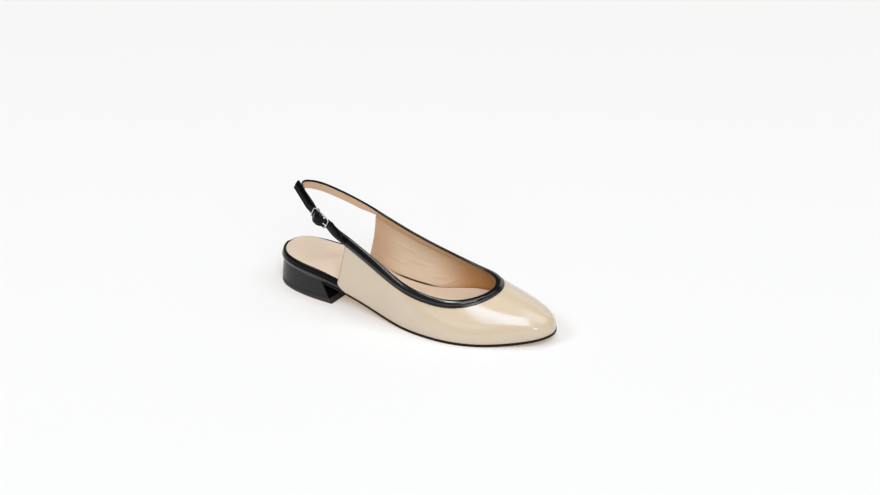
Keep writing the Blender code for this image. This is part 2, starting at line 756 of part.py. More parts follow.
build_outsole()
build_heel()
build_insole()
build_rand()
build_upper()
build_binding()
build_heel_strap(paint("heel_strap", (0.02, 0.02, 0.021), 0.3))
build_buckle_strap(paint("buckle_strap", (0.02, 0.02, 0.021), 0.3))
build_buckle()
centre()
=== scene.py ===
"""Looks of a slingback ballet flat: its leathers, stitching, straps, buckle, heel and studio.

The last has its own frame in millimetres, with x from the back of the heel to the toe, y to the
inner side of the foot and z up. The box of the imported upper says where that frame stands.
"""
import math
from collections import namedtuple

import bmesh
import bpy
import numpy as np
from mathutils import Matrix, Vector


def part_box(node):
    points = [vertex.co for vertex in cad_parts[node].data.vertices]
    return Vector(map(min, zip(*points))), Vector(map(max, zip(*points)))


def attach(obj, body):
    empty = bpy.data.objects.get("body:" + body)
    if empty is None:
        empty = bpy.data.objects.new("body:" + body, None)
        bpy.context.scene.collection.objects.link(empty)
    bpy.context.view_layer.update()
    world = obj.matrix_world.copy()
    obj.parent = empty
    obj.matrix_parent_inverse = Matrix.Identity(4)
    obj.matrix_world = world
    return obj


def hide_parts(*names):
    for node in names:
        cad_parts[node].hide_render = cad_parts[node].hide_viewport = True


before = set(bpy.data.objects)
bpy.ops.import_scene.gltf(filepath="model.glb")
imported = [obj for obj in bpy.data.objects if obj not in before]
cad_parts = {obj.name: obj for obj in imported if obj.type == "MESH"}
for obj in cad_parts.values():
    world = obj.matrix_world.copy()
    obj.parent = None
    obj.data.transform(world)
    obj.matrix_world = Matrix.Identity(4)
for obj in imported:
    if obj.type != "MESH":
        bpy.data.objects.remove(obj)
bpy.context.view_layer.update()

bl_info = {
    "name": "Slingback Ballet Flat",
    "version": (1, 0, 0),
    "blender": (4, 5, 0),
    "location": "View3D > Sidebar > Flat",
    "description": "Dresses the solids of a slingback ballet flat in leather, thread and metal",
    "category": "Object",
}

MM = 0.001
ROOT_BODY = "root"

# Last and sole, in millimetres
LENGTH = 250.0
HALF_BALL = 40.0
INSTEP_HEIGHT = 74.0
SEAT_HEIGHT = 22.0
SEAT_PITCH = 0.045
ARCH_START = 42.0
BALL_START = 142.0
SPRING_START = 198.0
TOE_SPRING = 5.6
SOLE_THICKNESS = 1.9
WAIST_SOLE_THICKNESS = 1.3
SOLE_REAR = 59.5
SEAT_BED = 8.2
FORE_BED = 2.4
SEAT_BED_INSET = 3.0
FORE_BED_INSET = 2.0
BED_FALL_START = 58.0
BED_FALL = 42.0
BED_STEP_START = 70.0
BED_STEP = 16.0
BED_DISH = 0.7
BED_CUP = 4.4
BED_CUP_START = 126.0
BED_CUP_FULL = 166.0
BED_CUP_FADE = 206.0
BED_CUP_END = 242.0
SEAM_GAP = 0.3

# Heel, in millimetres
LIFT_HEIGHT = 4.5
HEEL_TOP_INSET = 0.7
HEEL_FOOT_INSET = -0.9
HEEL_HOLLOW = 0.18
BREAST_TOP = 56.5
BREAST_FOOT = 67.0
HEEL_AXIS_Y = -5.0
HEEL_TURN = 0.115

# Upper, straps and buckle, in millimetres
WALL = 1.4
QUARTER_CORNER = 22.0
QUARTER_ROUND = 8.0
HEEL_STRAP_WIDTH = 6.6
BUCKLE_STRAP_WIDTH = 7.8
STRAP_THICKNESS = 1.5
WIRE = 0.75
FRAME_HALF_LENGTH = 8.25
FRAME_HALF_WIDTH = 5.2
FRAME_CORNER = 2.0
TURN_RADIUS = WIRE + SEAM_GAP + STRAP_THICKNESS / 2
BAR_LAP = TURN_RADIUS + STRAP_THICKNESS + SEAM_GAP + 0.05
BAR_DIP = -TURN_RADIUS - 0.05
LAP_FLAT = 1.2
SLING_DEPTH = BAR_DIP - STRAP_THICKNESS - SEAM_GAP
FOLD_DEPTH = SLING_DEPTH - STRAP_THICKNESS - SEAM_GAP
SLING_LIFT = 1.3
WEAVE_LEAD = 2.0
WEAVE_EXIT = 1.5
BUCKLE_CENTRE = np.array((51.0, -26.6, 75.7))
BUCKLE_RUN = np.array(Vector((-0.871, 0.130, 0.472)).normalized())
BUCKLE_OUT = np.array(Vector((-BUCKLE_RUN[1], BUCKLE_RUN[0], 0.0)).normalized())
BUCKLE_ACROSS = np.cross(BUCKLE_RUN, BUCKLE_OUT)
TAIL_END = np.array((24.0, -16.5, 95.5))
SLING_ROWS = 150
LEAD_ROWS = 40
WEAVE_ROWS = 60
STRAP_TWIST = 7.0
STRAP_SETTLE = 16.0
STRAP_LEAN = math.radians(14.0)
TAIL_POINT = 1.6
TAIL_HOLES = (7.0, 13.0, 19.0)
HOLE_RADIUS = 0.5

# A strap: its middle line, the side it faces, how far it leans, what its edges gain over the plain
# width, how far its tip is drawn out and where it stands square to the buckle. Then the loop of the
# binding that it leaves and the one before, its depth there, and the rows that end lining and sewing
Strap = namedtuple("Strap", (
    "node", "path", "outer_side", "width", "lean", "rise", "fall", "tip", "square_from",
    "end", "before", "reach", "lined_to", "sewn_to"))

Outline = namedtuple("Outline", "place along side")
OUTLINE = [
    Outline("outer breast", 0.240, -0.785),
    Outline("outer waist", 0.392, -0.800),
    Outline("outer ball", 0.600, -1.005),
    Outline("outer tread", 0.744, -0.940),
    Outline("outer toe", 0.888, -0.520),
    Outline("toe", 1.000, 0.180),
    Outline("inner toe", 0.930, 0.800),
    Outline("inner tread", 0.790, 0.985),
    Outline("inner ball", 0.640, 0.950),
    Outline("inner waist", 0.420, 0.638),
    Outline("inner breast", 0.240, 0.530),
    Outline("inner seat", 0.110, 0.495),
    Outline("inner back", 0.032, 0.365),
    Outline("back", 0.004, -0.025),
    Outline("outer back", 0.034, -0.480),
    Outline("outer seat", 0.120, -0.720),
]

Section = namedtuple("Section", "place along side rise lean foot_pull slope top_pull")
SECTIONS = [
    Section("outer breast", 0.240, -0.730, 0.993, 92.0, 15.0, 88.0, 15.0),
    Section("outer waist", 0.400, -0.775, 0.730, 98.0, 14.0, 85.0, 14.0),
    Section("outer ball", 0.560, -0.812, 0.490, 98.0, 11.0, 68.0, 11.0),
    Section("outer tread", 0.672, -0.725, 0.438, 97.0, 10.0, 52.0, 12.0),
    Section("outer toe", 0.758, -0.420, 0.466, 97.0, 12.0, 36.0, 18.0),
    Section("toe", 0.792, 0.090, 0.495, 98.0, 19.0, 22.0, 24.0),
    Section("inner toe", 0.766, 0.495, 0.490, 97.0, 14.0, 34.0, 16.0),
    Section("inner tread", 0.692, 0.715, 0.492, 97.0, 13.0, 56.0, 12.0),
    Section("inner ball", 0.592, 0.778, 0.540, 98.0, 13.0, 74.0, 12.0),
    Section("inner waist", 0.416, 0.662, 0.739, 98.0, 15.0, 86.0, 14.0),
    Section("inner breast", 0.240, 0.570, 0.988, 92.0, 15.0, 90.0, 15.0),
]

BackEdge = namedtuple("BackEdge", "x rake bow round strap_line strap_rake")
BACK_EDGES = {
    -1: BackEdge(69.6, 0.198, 0.0, 8.0, 58.5, 0.59),
    1: BackEdge(69.7, 0.137, 0.9, 8.0, 60.0, 0.36),
}

Stop = namedtuple("Stop", "place x y z")
HEEL_STRAP = [
    Stop("inner quarter", 74.6, 24.5, 63.0),
    Stop("inner side", 53.0, 22.0, 70.8),
    Stop("inner bend", 36.0, 15.4, 78.9),
    Stop("inner back", 24.5, 5.0, 86.0),
    Stop("back", 20.8, -3.0, 88.4),
    Stop("outer back", 24.5, -10.5, 88.5),
    Stop("outer bend", 33.5, -17.2, 85.2),
]
BUCKLE_STRAP = [
    Stop("outer quarter", 78.0, -30.6, 61.2),
    Stop("outer side", 67.5, -28.8, 67.6),
]
Fold = namedtuple("Fold", "place along out")
FOLD_UP = [
    Fold("rear bar", FRAME_HALF_LENGTH, SLING_DEPTH),
    Fold("rise", 5.0, SLING_DEPTH + SLING_LIFT),
]
FOLD_CREST = Fold("crest", 2.6, 0.5)
FOLD_TURN = np.radians(np.linspace(122.0, -118.0, 10))
FOLD_BACK = [
    Fold("under bar", 2.8, -2.6),
    Fold("fall", 5.0, SLING_DEPTH + SLING_LIFT - STRAP_THICKNESS - 2 * SEAM_GAP),
    Fold("end", 7.4, FOLD_DEPTH + 0.3),
]
PRONG = [
    Fold("root", -2.4, 1.30),
    Fold("rise", -3.4, 1.70),
    Fold("back", -5.0, 1.75),
    Fold("middle", -7.0, 1.66),
    Fold("front bar", -8.6, 1.52),
    Fold("tip", -9.6, 1.18),
]
PRONG_ROWS = 40
PRONG_RADIUS = 0.62
PRONG_TAPER = 0.16
PRONG_TIP = (0.98, 0.92, 0.80, 0.58, 0.22)

# Binding's section, from its stitched lip over the rolled bead and round to its underside:
# distance below the collar's edge and out from the leather. Then the same places on the strap
# that it runs out into: share of the strap's half width and distance out from its middle
Ring = namedtuple("Ring", "place down out across face")
STITCH_BED = (4.10, 0.62)
STITCH_LIFT = 0.06
COLLAR_ROWS = 420
BINDING_RING = [
    Ring("lip foot", 5.76, 0.08, -1.00, -0.30),
    Ring("lip edge", 5.92, 0.40, -1.03, 0.22),
    Ring("lip crown", 5.45, 0.74, -0.97, 0.56),
    Ring("lip back", 4.70, 0.84, -0.80, 0.66),
    Ring("stitch bed", *STITCH_BED, -0.64, 0.56),
    Ring("bead foot", 3.76, 0.82, -0.54, 0.68),
    Ring("bead low", 3.25, 1.18, -0.38, 0.86),
    Ring("bead side", 2.55, 1.36, -0.14, 0.98),
    Ring("bead face", 1.72, 1.20, 0.14, 1.00),
    Ring("bead shoulder", 0.95, 0.80, 0.42, 0.92),
    Ring("upper side", 0.05, 0.30, 0.70, 0.74),
    Ring("upper round", -0.70, -0.32, 0.90, 0.48),
    Ring("top outer", -1.16, -0.98, 1.02, 0.16),
    Ring("top", -1.30, -1.56, 1.05, -0.18),
    Ring("inner round", -1.06, -2.00, 1.01, -0.46),
    Ring("inner side", -0.40, -2.22, 0.92, -0.64),
    Ring("inner lap", 0.36, -2.20, 0.76, -0.72),
    Ring("inner edge", 0.80, -2.00, 0.62, -0.62),
    Ring("inner foot", 0.80, -1.66, 0.52, -0.40),
    Ring("inner under", 0.40, -1.46, 0.30, -0.38),
    Ring("edge under", -0.10, -0.70, 0.00, -0.38),
    Ring("outer under", 0.30, 0.05, -0.40, -0.38),
    Ring("outer foot", 5.20, 0.05, -0.90, -0.38),
]
# Where the rows under the roll lie instead at the start of a strap
STRAP_ROOT = {
    "inner edge": (0.56, -1.86),
    "inner foot": (0.90, -1.36),
    "inner under": (2.20, -1.16),
    "edge under": (3.40, -1.10),
    "outer under": (4.50, -0.90),
    "outer foot": (5.45, -0.40),
}

# Rand's section, from its outer foot over the top: inset from the outline, height over the sole
Band = namedtuple("Band", "place inset height")
RAND = [
    Band("outer foot", 0.60, 0.10),
    Band("groove", 0.50, 0.75),
    Band("bead low", -0.10, 1.35),
    Band("bead full", -0.55, 2.60),
    Band("bead high", -0.42, 3.90),
    Band("neck", 0.05, 5.00),
    Band("face low", 0.20, 5.55),
    Band("face", 0.34, 6.30),
    Band("outer round", 0.85, 7.50),
    Band("crown", 1.55, 8.36),
    Band("inner round", 2.20, 8.52),
    Band("inner edge", 2.60, 7.90),
    Band("inner face", 2.60, 3.20),
    Band("inner foot", 2.60, 0.30),
]
RAND_CLEARANCE = 0.5
LIFT_EDGE = [
    Band("tread", 0.50, 0.00),
    Band("lower round", 0.05, 0.50),
    Band("face", 0.00, 2.20),
    Band("upper face", 0.00, LIFT_HEIGHT - 0.55),
    Band("groove", 0.25, LIFT_HEIGHT - 0.30),
]

# Sole's trimmed edge: inset from the outline and height over the lower face, or over the upper one
# where the share of the thickness taken off is 0
Trim = namedtuple("Trim", "place inset thickness_share height")
SOLE_EDGE = [
    Trim("underside", 1.00, 1.0, 0.00),
    Trim("lower round", 0.20, 1.0, 0.04),
    Trim("lower face", -0.40, 1.0, 0.22),
    Trim("face", -0.55, 1.0, 0.70),
    Trim("upper face", -0.50, 0.0, 0.40),
    Trim("upper round", -0.15, 0.0, 0.60),
    Trim("top", 0.05, 0.0, 0.05),
]

# Binding's edge turned in under the lining: how far down it ends and how much it stands out
TURN_IN = 5.6
TURN_IN_RISE = 0.25
LINING_GAP = 0.05

# Soft creases of the lining: where along the last and up the wall, turn from level in degrees,
# length, width and depth
Crease = namedtuple("Crease", "side x share turn length width depth")
LINING_CREASES = [
    Crease(1, 139.0, 0.16, -28.0, 17.0, 0.8, 0.46),
    Crease(1, 143.5, 0.20, -40.0, 20.0, 0.9, 0.42),
    Crease(1, 149.0, 0.15, -52.0, 15.0, 0.8, 0.36),
    Crease(1, 134.0, 0.26, -18.0, 22.0, 1.0, 0.28),
    Crease(1, 116.0, 0.42, -4.0, 42.0, 1.3, 0.26),
    Crease(1, 104.0, 0.60, 3.0, 36.0, 1.4, 0.24),
    Crease(1, 126.0, 0.56, -7.0, 30.0, 1.2, 0.22),
    Crease(1, 96.0, 0.30, 6.0, 28.0, 1.3, 0.22),
    Crease(-1, 118.0, 0.45, 5.0, 40.0, 2.4, 0.15),
    Crease(-1, 140.0, 0.30, -24.0, 22.0, 1.8, 0.22),
]
LEATHER_CREASES = [
    Crease(-1, 150.0, 0.52, 24.0, 34.0, 6.0, 0.10),
    Crease(-1, 172.0, 0.62, 12.0, 30.0, 5.0, -0.08),
    Crease(1, 156.0, 0.50, 20.0, 36.0, 6.0, 0.12),
    Crease(1, 118.0, 0.40, -8.0, 40.0, 8.0, 0.10),
    Crease(-1, 112.0, 0.46, 6.0, 44.0, 9.0, 0.09),
]

# Soft boxes and cards: the stage's setting for each one's radiance, its place round the shoe in
# degrees, its distance and its size in metres
Softbox = namedtuple("Softbox", "name setting azimuth elevation distance width height")
SOFTBOXES = [
    Softbox("key_softbox", "key_light", 38.0, 50.0, 7.0, 3.0, 5.66),
    Softbox("rear_softbox", "rear_light", 112.0, 56.0, 7.0, 6.0, 4.6),
    Softbox("back_softbox", "back_light", 222.0, 70.0, 7.0, 2.4, 1.0),
    Softbox("side_softbox", "side_light", -45.0, 43.0, 7.0, 2.4, 2.0),
    Softbox("low_strip", "strip_light", 5.0, 19.5, 6.0, 3.9, 0.75),
    Softbox("low_card", "card_light", 55.4, 11.2, 3.0, 0.36, 0.24),
    Softbox("back_card", "back_card_light", 182.0, 17.0, 7.0, 5.4, 4.0),
]
CAMERA_TARGET = (125.0, 0.0, 15.0)
PICTURE_WIDTH = 880.0
SENSOR_WIDTH = 36.0
FLOOR_SIZE = 40.0


def spline(knots, rows, closed=False):
    """Cubic spline with continuous curvature through the rows, as a function of the knots."""
    knots = np.asarray(knots, float)
    rows = np.asarray(rows, float)
    gaps = np.diff(knots)
    count = len(rows)
    system = np.eye(count)
    load = np.zeros_like(rows)
    for i in range(count) if closed else range(1, count - 1):
        before, after = gaps[i - 1], gaps[i]
        last, following = i - 1, (i + 1) % count
        system[i, i] = 2.0 * (before + after)
        system[i, last] = before
        system[i, following] = after
        load[i] = 6.0 * ((rows[following] - rows[i]) / after - (rows[i] - rows[last]) / before)
    bend = np.linalg.solve(system, load)
    if closed:
        rows = np.vstack([rows, rows[:1]])
        bend = np.vstack([bend, bend[:1]])

    def at(s):
        s = np.asarray(s, float)
        if closed:
            s = np.mod(s, knots[-1])
        i = np.clip(np.searchsorted(knots, s, side="right") - 1, 0, len(gaps) - 1)
        step = gaps[i][..., None]
        b = ((s - knots[i]) / gaps[i])[..., None]
        a = 1.0 - b
        curve = ((a ** 3 - a) * bend[i] + (b ** 3 - b) * bend[i + 1]) * step ** 2 / 6.0
        return a * rows[i] + b * rows[i + 1] + curve

    return at


def lengths(points, closed=False):
    """Running length along a row of points."""
    points = np.asarray(points, float)
    if closed:
        points = np.vstack([points, points[:1]])
    steps = np.linalg.norm(np.diff(points, axis=0), axis=1)
    return np.concatenate([[0.0], np.cumsum(steps)])


def ease(share):
    """Smooth rise from 0 to 1."""
    share = np.clip(share, 0.0, 1.0)
    return share * share * (3.0 - 2.0 * share)


def unit(vectors):
    """Vectors brought to length 1."""
    return vectors / np.linalg.norm(vectors, axis=-1, keepdims=True)


OUTLINE_POINTS = np.array([(r.along * LENGTH, r.side * HALF_BALL) for r in OUTLINE])
KNOTS = lengths(OUTLINE_POINTS, closed=True)
AROUND = KNOTS[-1]
PLACES = {row.place: KNOTS[i] for i, row in enumerate(OUTLINE)}
plan = spline(KNOTS, OUTLINE_POINTS, closed=True)
UPPER_KNOTS = KNOTS[:len(SECTIONS)]
collar = spline(UPPER_KNOTS, [
    (r.along * LENGTH, r.side * HALF_BALL, r.rise * INSTEP_HEIGHT) for r in SECTIONS])
profile = spline(UPPER_KNOTS, [(r.lean, r.foot_pull, r.slope, r.top_pull) for r in SECTIONS])


def inward(curve, s):
    """Level direction from a counter-clockwise curve towards its inside."""
    run = unit((curve(s + 0.4) - curve(s - 0.4))[..., :2])
    return np.stack([-run[..., 1], run[..., 0], np.zeros(run.shape[:-1])], axis=-1)


def edge(s, inset=0.0):
    """Point of the plan outline, moved inward by the inset."""
    return plan(s) + inward(plan, s)[..., :2] * inset


def bed(x):
    """Height of the outsole's upper face."""
    seat = SEAT_HEIGHT - SEAT_PITCH * x
    fall = ease((x - ARCH_START) / (BALL_START - ARCH_START))
    spring = np.clip((x - SPRING_START) / (LENGTH - SPRING_START), 0.0, None)
    return seat + (SOLE_THICKNESS - seat) * fall + TOE_SPRING * spring ** 2


def sole_thickness(x):
    """Outsole thickness, thinned from the tread to the heel breast."""
    share = ease((x - SOLE_REAR) / (BALL_START - SOLE_REAR))
    return WAIST_SOLE_THICKNESS + (SOLE_THICKNESS - WAIST_SOLE_THICKNESS) * share


def bed_thickness(x):
    """Footbed thickness, full at the seat and thin under the forefoot."""
    return SEAT_BED + (FORE_BED - SEAT_BED) * ease((x - BED_FALL_START) / BED_FALL)


def bed_cup(x):
    """Rise of the footbed's edges against the wall, over the forefoot."""
    rise = ease((x - BED_CUP_START) / (BED_CUP_FULL - BED_CUP_START))
    fade = ease((x - BED_CUP_FADE) / (BED_CUP_END - BED_CUP_FADE))
    return BED_CUP * rise * (1.0 - fade)


def toe_edge(x):
    """Share of the footbed's extra rise at its edge, along the great toe."""
    return ease((x - 150.0) / 28.0) * ease((224.0 - x) / 28.0)


def bed_inset(s):
    """Distance of the footbed's edge from the outline."""
    share = ease((plan(s)[..., :1] - BED_STEP_START) / BED_STEP)
    return SEAT_BED_INSET + (FORE_BED_INSET - SEAT_BED_INSET) * share


def raised(points, height):
    """Plan points given a height each."""
    height = np.broadcast_to(np.asarray(height, float), points.shape[:-1])
    return np.concatenate([points, height[..., None]], axis=-1)


def wall(s, t):
    """Outer face of the upper: s runs along the sole's edge, t from the sole to the collar."""
    s, t = np.broadcast_arrays(np.asarray(s, float), np.asarray(t, float))
    foot = plan(s)
    foot = raised(foot, bed(foot[..., 0]) + SEAM_GAP)
    top = collar(s)
    lean, foot_pull, slope, top_pull = np.moveaxis(profile(s), -1, 0)
    lean, slope = np.radians(lean), np.radians(slope)
    up = np.array([0.0, 0.0, 1.0])
    low = inward(plan, s) * np.cos(lean)[..., None] + up * np.sin(lean)[..., None]
    high = inward(collar, s) * np.cos(slope)[..., None] + up * np.sin(slope)[..., None]
    low = foot + low * foot_pull[..., None]
    high = top - high * top_pull[..., None]
    t = t[..., None]
    r = 1.0 - t
    return r ** 3 * foot + 3 * r * r * t * low + 3 * r * t * t * high + t ** 3 * top


def wall_out(s, t):
    """Direction square to the upper's outer face."""
    along = wall(s + 0.3, t) - wall(s - 0.3, t)
    rise = wall(s, t + 0.004) - wall(s, t - 0.004)
    return unit(np.cross(along, rise))


def back_edge(z, side):
    """Where the quarter ends at a height, with its lower corner rounded off."""
    row = BACK_EDGES[side]
    below = np.clip(QUARTER_CORNER - z, 0.0, None) / QUARTER_ROUND
    above = np.clip(z - QUARTER_CORNER, 0.0, row.strap_line - QUARTER_CORNER)
    square = np.clip(z - row.strap_line, 0.0, None)
    bow = row.bow * np.sin(above / (row.strap_line - QUARTER_CORNER) * math.pi)
    return row.x + row.rake * above + bow + row.strap_rake * square + row.round * below ** 2


def halve(test, low, high):
    """Parameter at which a row of tests turns from false to true."""
    for _ in range(36):
        middle = (low + high) / 2
        passed = test(middle)
        high = np.where(passed, middle, high)
        low = np.where(passed, low, middle)
    return (low + high) / 2


def quarter_end(share, side, ahead_by=0.0):
    """Parameter along the sole's edge where the wall ends, or a distance ahead of that."""
    def ahead(s):
        points = wall(s, share(s))
        return (points[..., 0] > back_edge(points[..., 2], side) + ahead_by) == (side < 0)

    first = PLACES["outer breast"] if side < 0 else PLACES["inner waist"]
    last = PLACES["outer waist"] if side < 0 else PLACES["inner breast"]
    return halve(ahead, np.array(first), np.array(last))


def between_ends(share, count):
    """Even parameters from one back edge to the other, at a share of the wall's height."""
    return np.linspace(quarter_end(share, -1), quarter_end(share, 1), count)


def below_collar(down):
    """Share of the wall's height a distance below the collar, as a function along it."""
    def share(s):
        span = np.linalg.norm(wall(s, 1.0) - wall(s, 0.9), axis=-1) / 0.1
        return 1.0 - down / span

    return share


def edge_where(reached, side):
    """Parameter of the outline on one side of the heel where a test of x and y turns true."""
    back = PLACES["back"]
    ahead = AROUND + PLACES["outer ball"] if side < 0 else PLACES["inner ball"]
    low, high = (back, ahead) if side < 0 else (ahead, back)
    return halve(lambda s: reached(*np.moveaxis(plan(s), -1, 0)) == (side < 0),
                 np.array(low), np.array(high))


def breast_line(x, y):
    """Place along the heel's own axis, which turns outward from the shoe's."""
    return x - HEEL_TURN * (y - HEEL_AXIS_Y)


def edge_at(place, side):
    """Parameter of the outline on one side, at a place along the heel's axis."""
    return edge_where(lambda x, y: breast_line(x, y) > place, side)


def edge_behind(height, side):
    """Parameter of the outline just behind the quarter's back edge, at a height over the sole."""
    return edge_where(lambda x, y: x > back_edge(bed(x) + height, side) - RAND_CLEARANCE, side)


def wall_at(x, side):
    """Parameter of the upper on one side at a place along the last."""
    first, last = (PLACES["outer breast"], PLACES["toe"])
    if side > 0:
        first, last = PLACES["toe"], PLACES["inner breast"]
    return halve(lambda s: (plan(s)[..., 0] > x) == (side < 0), np.array(first), np.array(last))


def creased(s, t, creases):
    """Depth of soft creases over the wall, as troughs along its face."""
    depth = np.zeros(np.broadcast(s, t).shape)
    span = np.linalg.norm(wall(s, 1.0) - wall(s, 0.0), axis=-1)
    for row in creases:
        middle = wall_at(row.x, row.side)
        turn = math.radians(row.turn)
        run, rise = s - middle, (t - row.share) * span
        along = run * math.cos(turn) + rise * math.sin(turn)
        across = rise * math.cos(turn) - run * math.sin(turn)
        fade = ease(1.0 - np.abs(along) / (row.length / 2))
        depth += row.depth * fade * np.exp(-(across / row.width) ** 2)
    return depth


def frame_origin():
    """Place of the last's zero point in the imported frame, from the box of the upper."""
    s, t = np.meshgrid(np.linspace(UPPER_KNOTS[0], UPPER_KNOTS[-1], 500), np.linspace(0, 1, 60))
    points = wall(s, t).reshape(-1, 3)
    low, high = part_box("upper")
    middle = (points[:, 1].min() + points[:, 1].max()) / 2
    return np.array((high.x - points[:, 0].max() * MM, (low.y + high.y) / 2 - middle * MM, 0.0))


ORIGIN = frame_origin()


def placed(points):
    """Points of the last's frame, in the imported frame."""
    return np.asarray(points, float) * MM + ORIGIN


def lattice(rows, columns, wrap_rows=False, wrap_columns=False):
    """Corner numbers of the quads over a lattice of points."""
    first = np.arange(rows if wrap_rows else rows - 1)
    second = np.arange(columns if wrap_columns else columns - 1)
    i, j = np.meshgrid(first, second, indexing="ij")
    next_i, next_j = (i + 1) % rows, (j + 1) % columns
    corners = [i * columns + j, next_i * columns + j, next_i * columns + next_j, i * columns + next_j]
    return np.stack(corners, axis=-1).reshape(-1, 4)


def make_piece(name, points, faces, material, node=None, marks=None):
    """Smooth mesh that rides on the shoe, stands for a node and carries marks for its finish."""
    data = bpy.data.meshes.new(name)
    data.from_pydata(placed(points).tolist(), [], [list(face) for face in faces])
    for mark, values in (marks or {}).items():
        attribute = data.attributes.new(mark, "FLOAT", "POINT")
        attribute.data.foreach_set("value", np.asarray(values, np.float32).ravel())
    data.materials.append(material)
    data.shade_smooth()
    data.set_sharp_from_angle(angle=math.radians(55.0))
    piece = bpy.data.objects.new(name, data)
    bpy.context.scene.collection.objects.link(piece)
    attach(piece, ROOT_BODY)
    if node:
        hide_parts(node)
    return piece


def sheet_piece(name, points, thickness, material, node, marks=None):
    """Leather sheet over a lattice, thickened inward, with its cut edges softened."""
    rows, columns = points.shape[:2]
    piece = make_piece(name, points.reshape(-1, 3), lattice(rows, columns), material, node, marks)
    solid = piece.modifiers.new("thickness", "SOLIDIFY")
    solid.thickness = thickness * MM
    solid.offset = -1.0
    solid.use_even_offset = True
    soften(piece, thickness * 0.3)
    return piece


def soften(piece, width):
    """Round the sharp edges of a piece."""
    bevel = piece.modifiers.new("soft edges", "BEVEL")
    bevel.width = width * MM
    bevel.segments = 2
    bevel.limit_method = "ANGLE"
    bevel.angle_limit = math.radians(50.0)
    bevel.harden_normals = True


def loft_piece(name, loops, material, node=None, marks=None):
    """Closed solid through a row of closed loops, with flat ends."""
    count, points = loops.shape[:2]
    faces = lattice(count, points, wrap_columns=True).tolist()
    faces.append(list(range(points))[::-1])
    faces.append([(count - 1) * points + k for k in range(points)])
    return make_piece(name, loops.reshape(-1, 3), faces, material, node, marks)


def outward(piece):
    """Turn a closed piece's faces outward."""
    mesh = bmesh.new()
    mesh.from_mesh(piece.data)
    bmesh.ops.recalc_face_normals(mesh, faces=mesh.faces)
    mesh.to_mesh(piece.data)
    mesh.free()
    return piece


class Wire:
    """Value carried by a socket, so that sums over a surface are written as expressions."""

    def __init__(self, finish, socket):
        self.finish = finish
        self.socket = socket

    def math(self, operation, first, second):
        """Math node over two values."""
        return self.finish.add("ShaderNodeMath", {"operation": operation}, {0: first, 1: second})

    def __add__(self, other):
        return self.math("ADD", self, other)

    def __radd__(self, other):
        return self.math("ADD", other, self)

    def __sub__(self, other):
        return self.math("SUBTRACT", self, other)

    def __rsub__(self, other):
        return self.math("SUBTRACT", other, self)

    def __mul__(self, other):
        return self.math("MULTIPLY", self, other)

    def __rmul__(self, other):
        return self.math("MULTIPLY", other, self)

    def __truediv__(self, other):
        return self.math("DIVIDE", self, other)

    def __rtruediv__(self, other):
        return self.math("DIVIDE", other, self)

    def __pow__(self, other):
        return self.math("POWER", self, other)


class Finish:
    """Node tree of one material, with its Principled shader."""

    def __init__(self, name, **constants):
        self.material = bpy.data.materials.new(name)
        self.material.use_nodes = True
        self.tree = self.material.node_tree
        self.shader = self.tree.nodes["Principled BSDF"]
        for socket, value in constants.items():
            self.feed(self.shader.inputs[socket.replace("_", " ").title().replace("Ior", "IOR")], value)

    def feed(self, socket, value):
        """Link a wire to a socket, or set the socket's own value."""
        if isinstance(value, Wire):
            self.tree.links.new(value.socket, socket)
        elif socket.type == "RGBA" and len(value) == 3:
            socket.default_value = (*value, 1.0)
        else:
            socket.default_value = value

    def add(self, kind, settings=None, sockets=None, output=0):
        """Add a node: its settings first, then the values or links of its sockets."""
        node = self.tree.nodes.new(kind)
        for name, value in (settings or {}).items():
            setattr(node, name, value)
        for name, value in (sockets or {}).items():
            self.feed(node.inputs[name], value)
        return Wire(self, node.outputs[output])

    def shade(self, socket, value):
        """Feed one of the shader's sockets."""
        self.feed(self.shader.inputs[socket], value)

    def place(self):
        """Place on the shoe, in metres."""
        return self.add("ShaderNodeTexCoord", output="Object")

    def mark(self, name):
        """Value of a mark that the piece carries."""
        return self.add("ShaderNodeAttribute", {"attribute_name": name}, output="Fac")

    def strip(self, along_stretch, across_stretch):
        """Vector along and across a strip, each stretched, for its crinkles."""
        return self.add("ShaderNodeCombineXYZ", sockets={
            0: self.mark("along") * along_stretch, 1: self.mark("across") * across_stretch})

    def noise(self, vector, scale, detail=2.0, roughness=0.5):
        """Soft noise from 0 to 1, with a number of waves in a unit of the vector."""
        return self.add("ShaderNodeTexNoise", sockets={
            "Vector": vector, "Scale": scale, "Detail": detail, "Roughness": roughness})

    def cells(self, vector, scale):
        """Distance to the nearest of scattered points, as in grain."""
        return self.add("ShaderNodeTexVoronoi", sockets={"Vector": vector, "Scale": scale})

    def between(self, value, low, high, to_low=0.0, to_high=1.0):
        """Value carried from one range to another and held at its ends."""
        return self.add("ShaderNodeMapRange", {"interpolation_type": "SMOOTHSTEP"}, {
            0: value, 1: low, 2: high, 3: to_low, 4: to_high})

    def blend(self, share, first, second):
        """Colour a share of the way from one to another."""
        return self.add("ShaderNodeMix", {"data_type": "RGBA"}, {0: share, 6: first, 7: second}, 2)

    def tones(self, share, colour, low, high):
        """Colour between a darker and a lighter tone of it."""
        return self.blend(share, tint(colour, low), tint(colour, high))

    def bump(self, height, distance, strength=1.0):
        """Feed relief of a height in millimetres to the shader's normal."""
        self.shade("Normal", self.add("ShaderNodeBump", sockets={
            "Height": height, "Distance": distance * MM, "Strength": strength}))


def tint(colour, gain):
    """Colour made lighter or darker by a factor."""
    return tuple(min(1.0, channel * gain) for channel in colour)


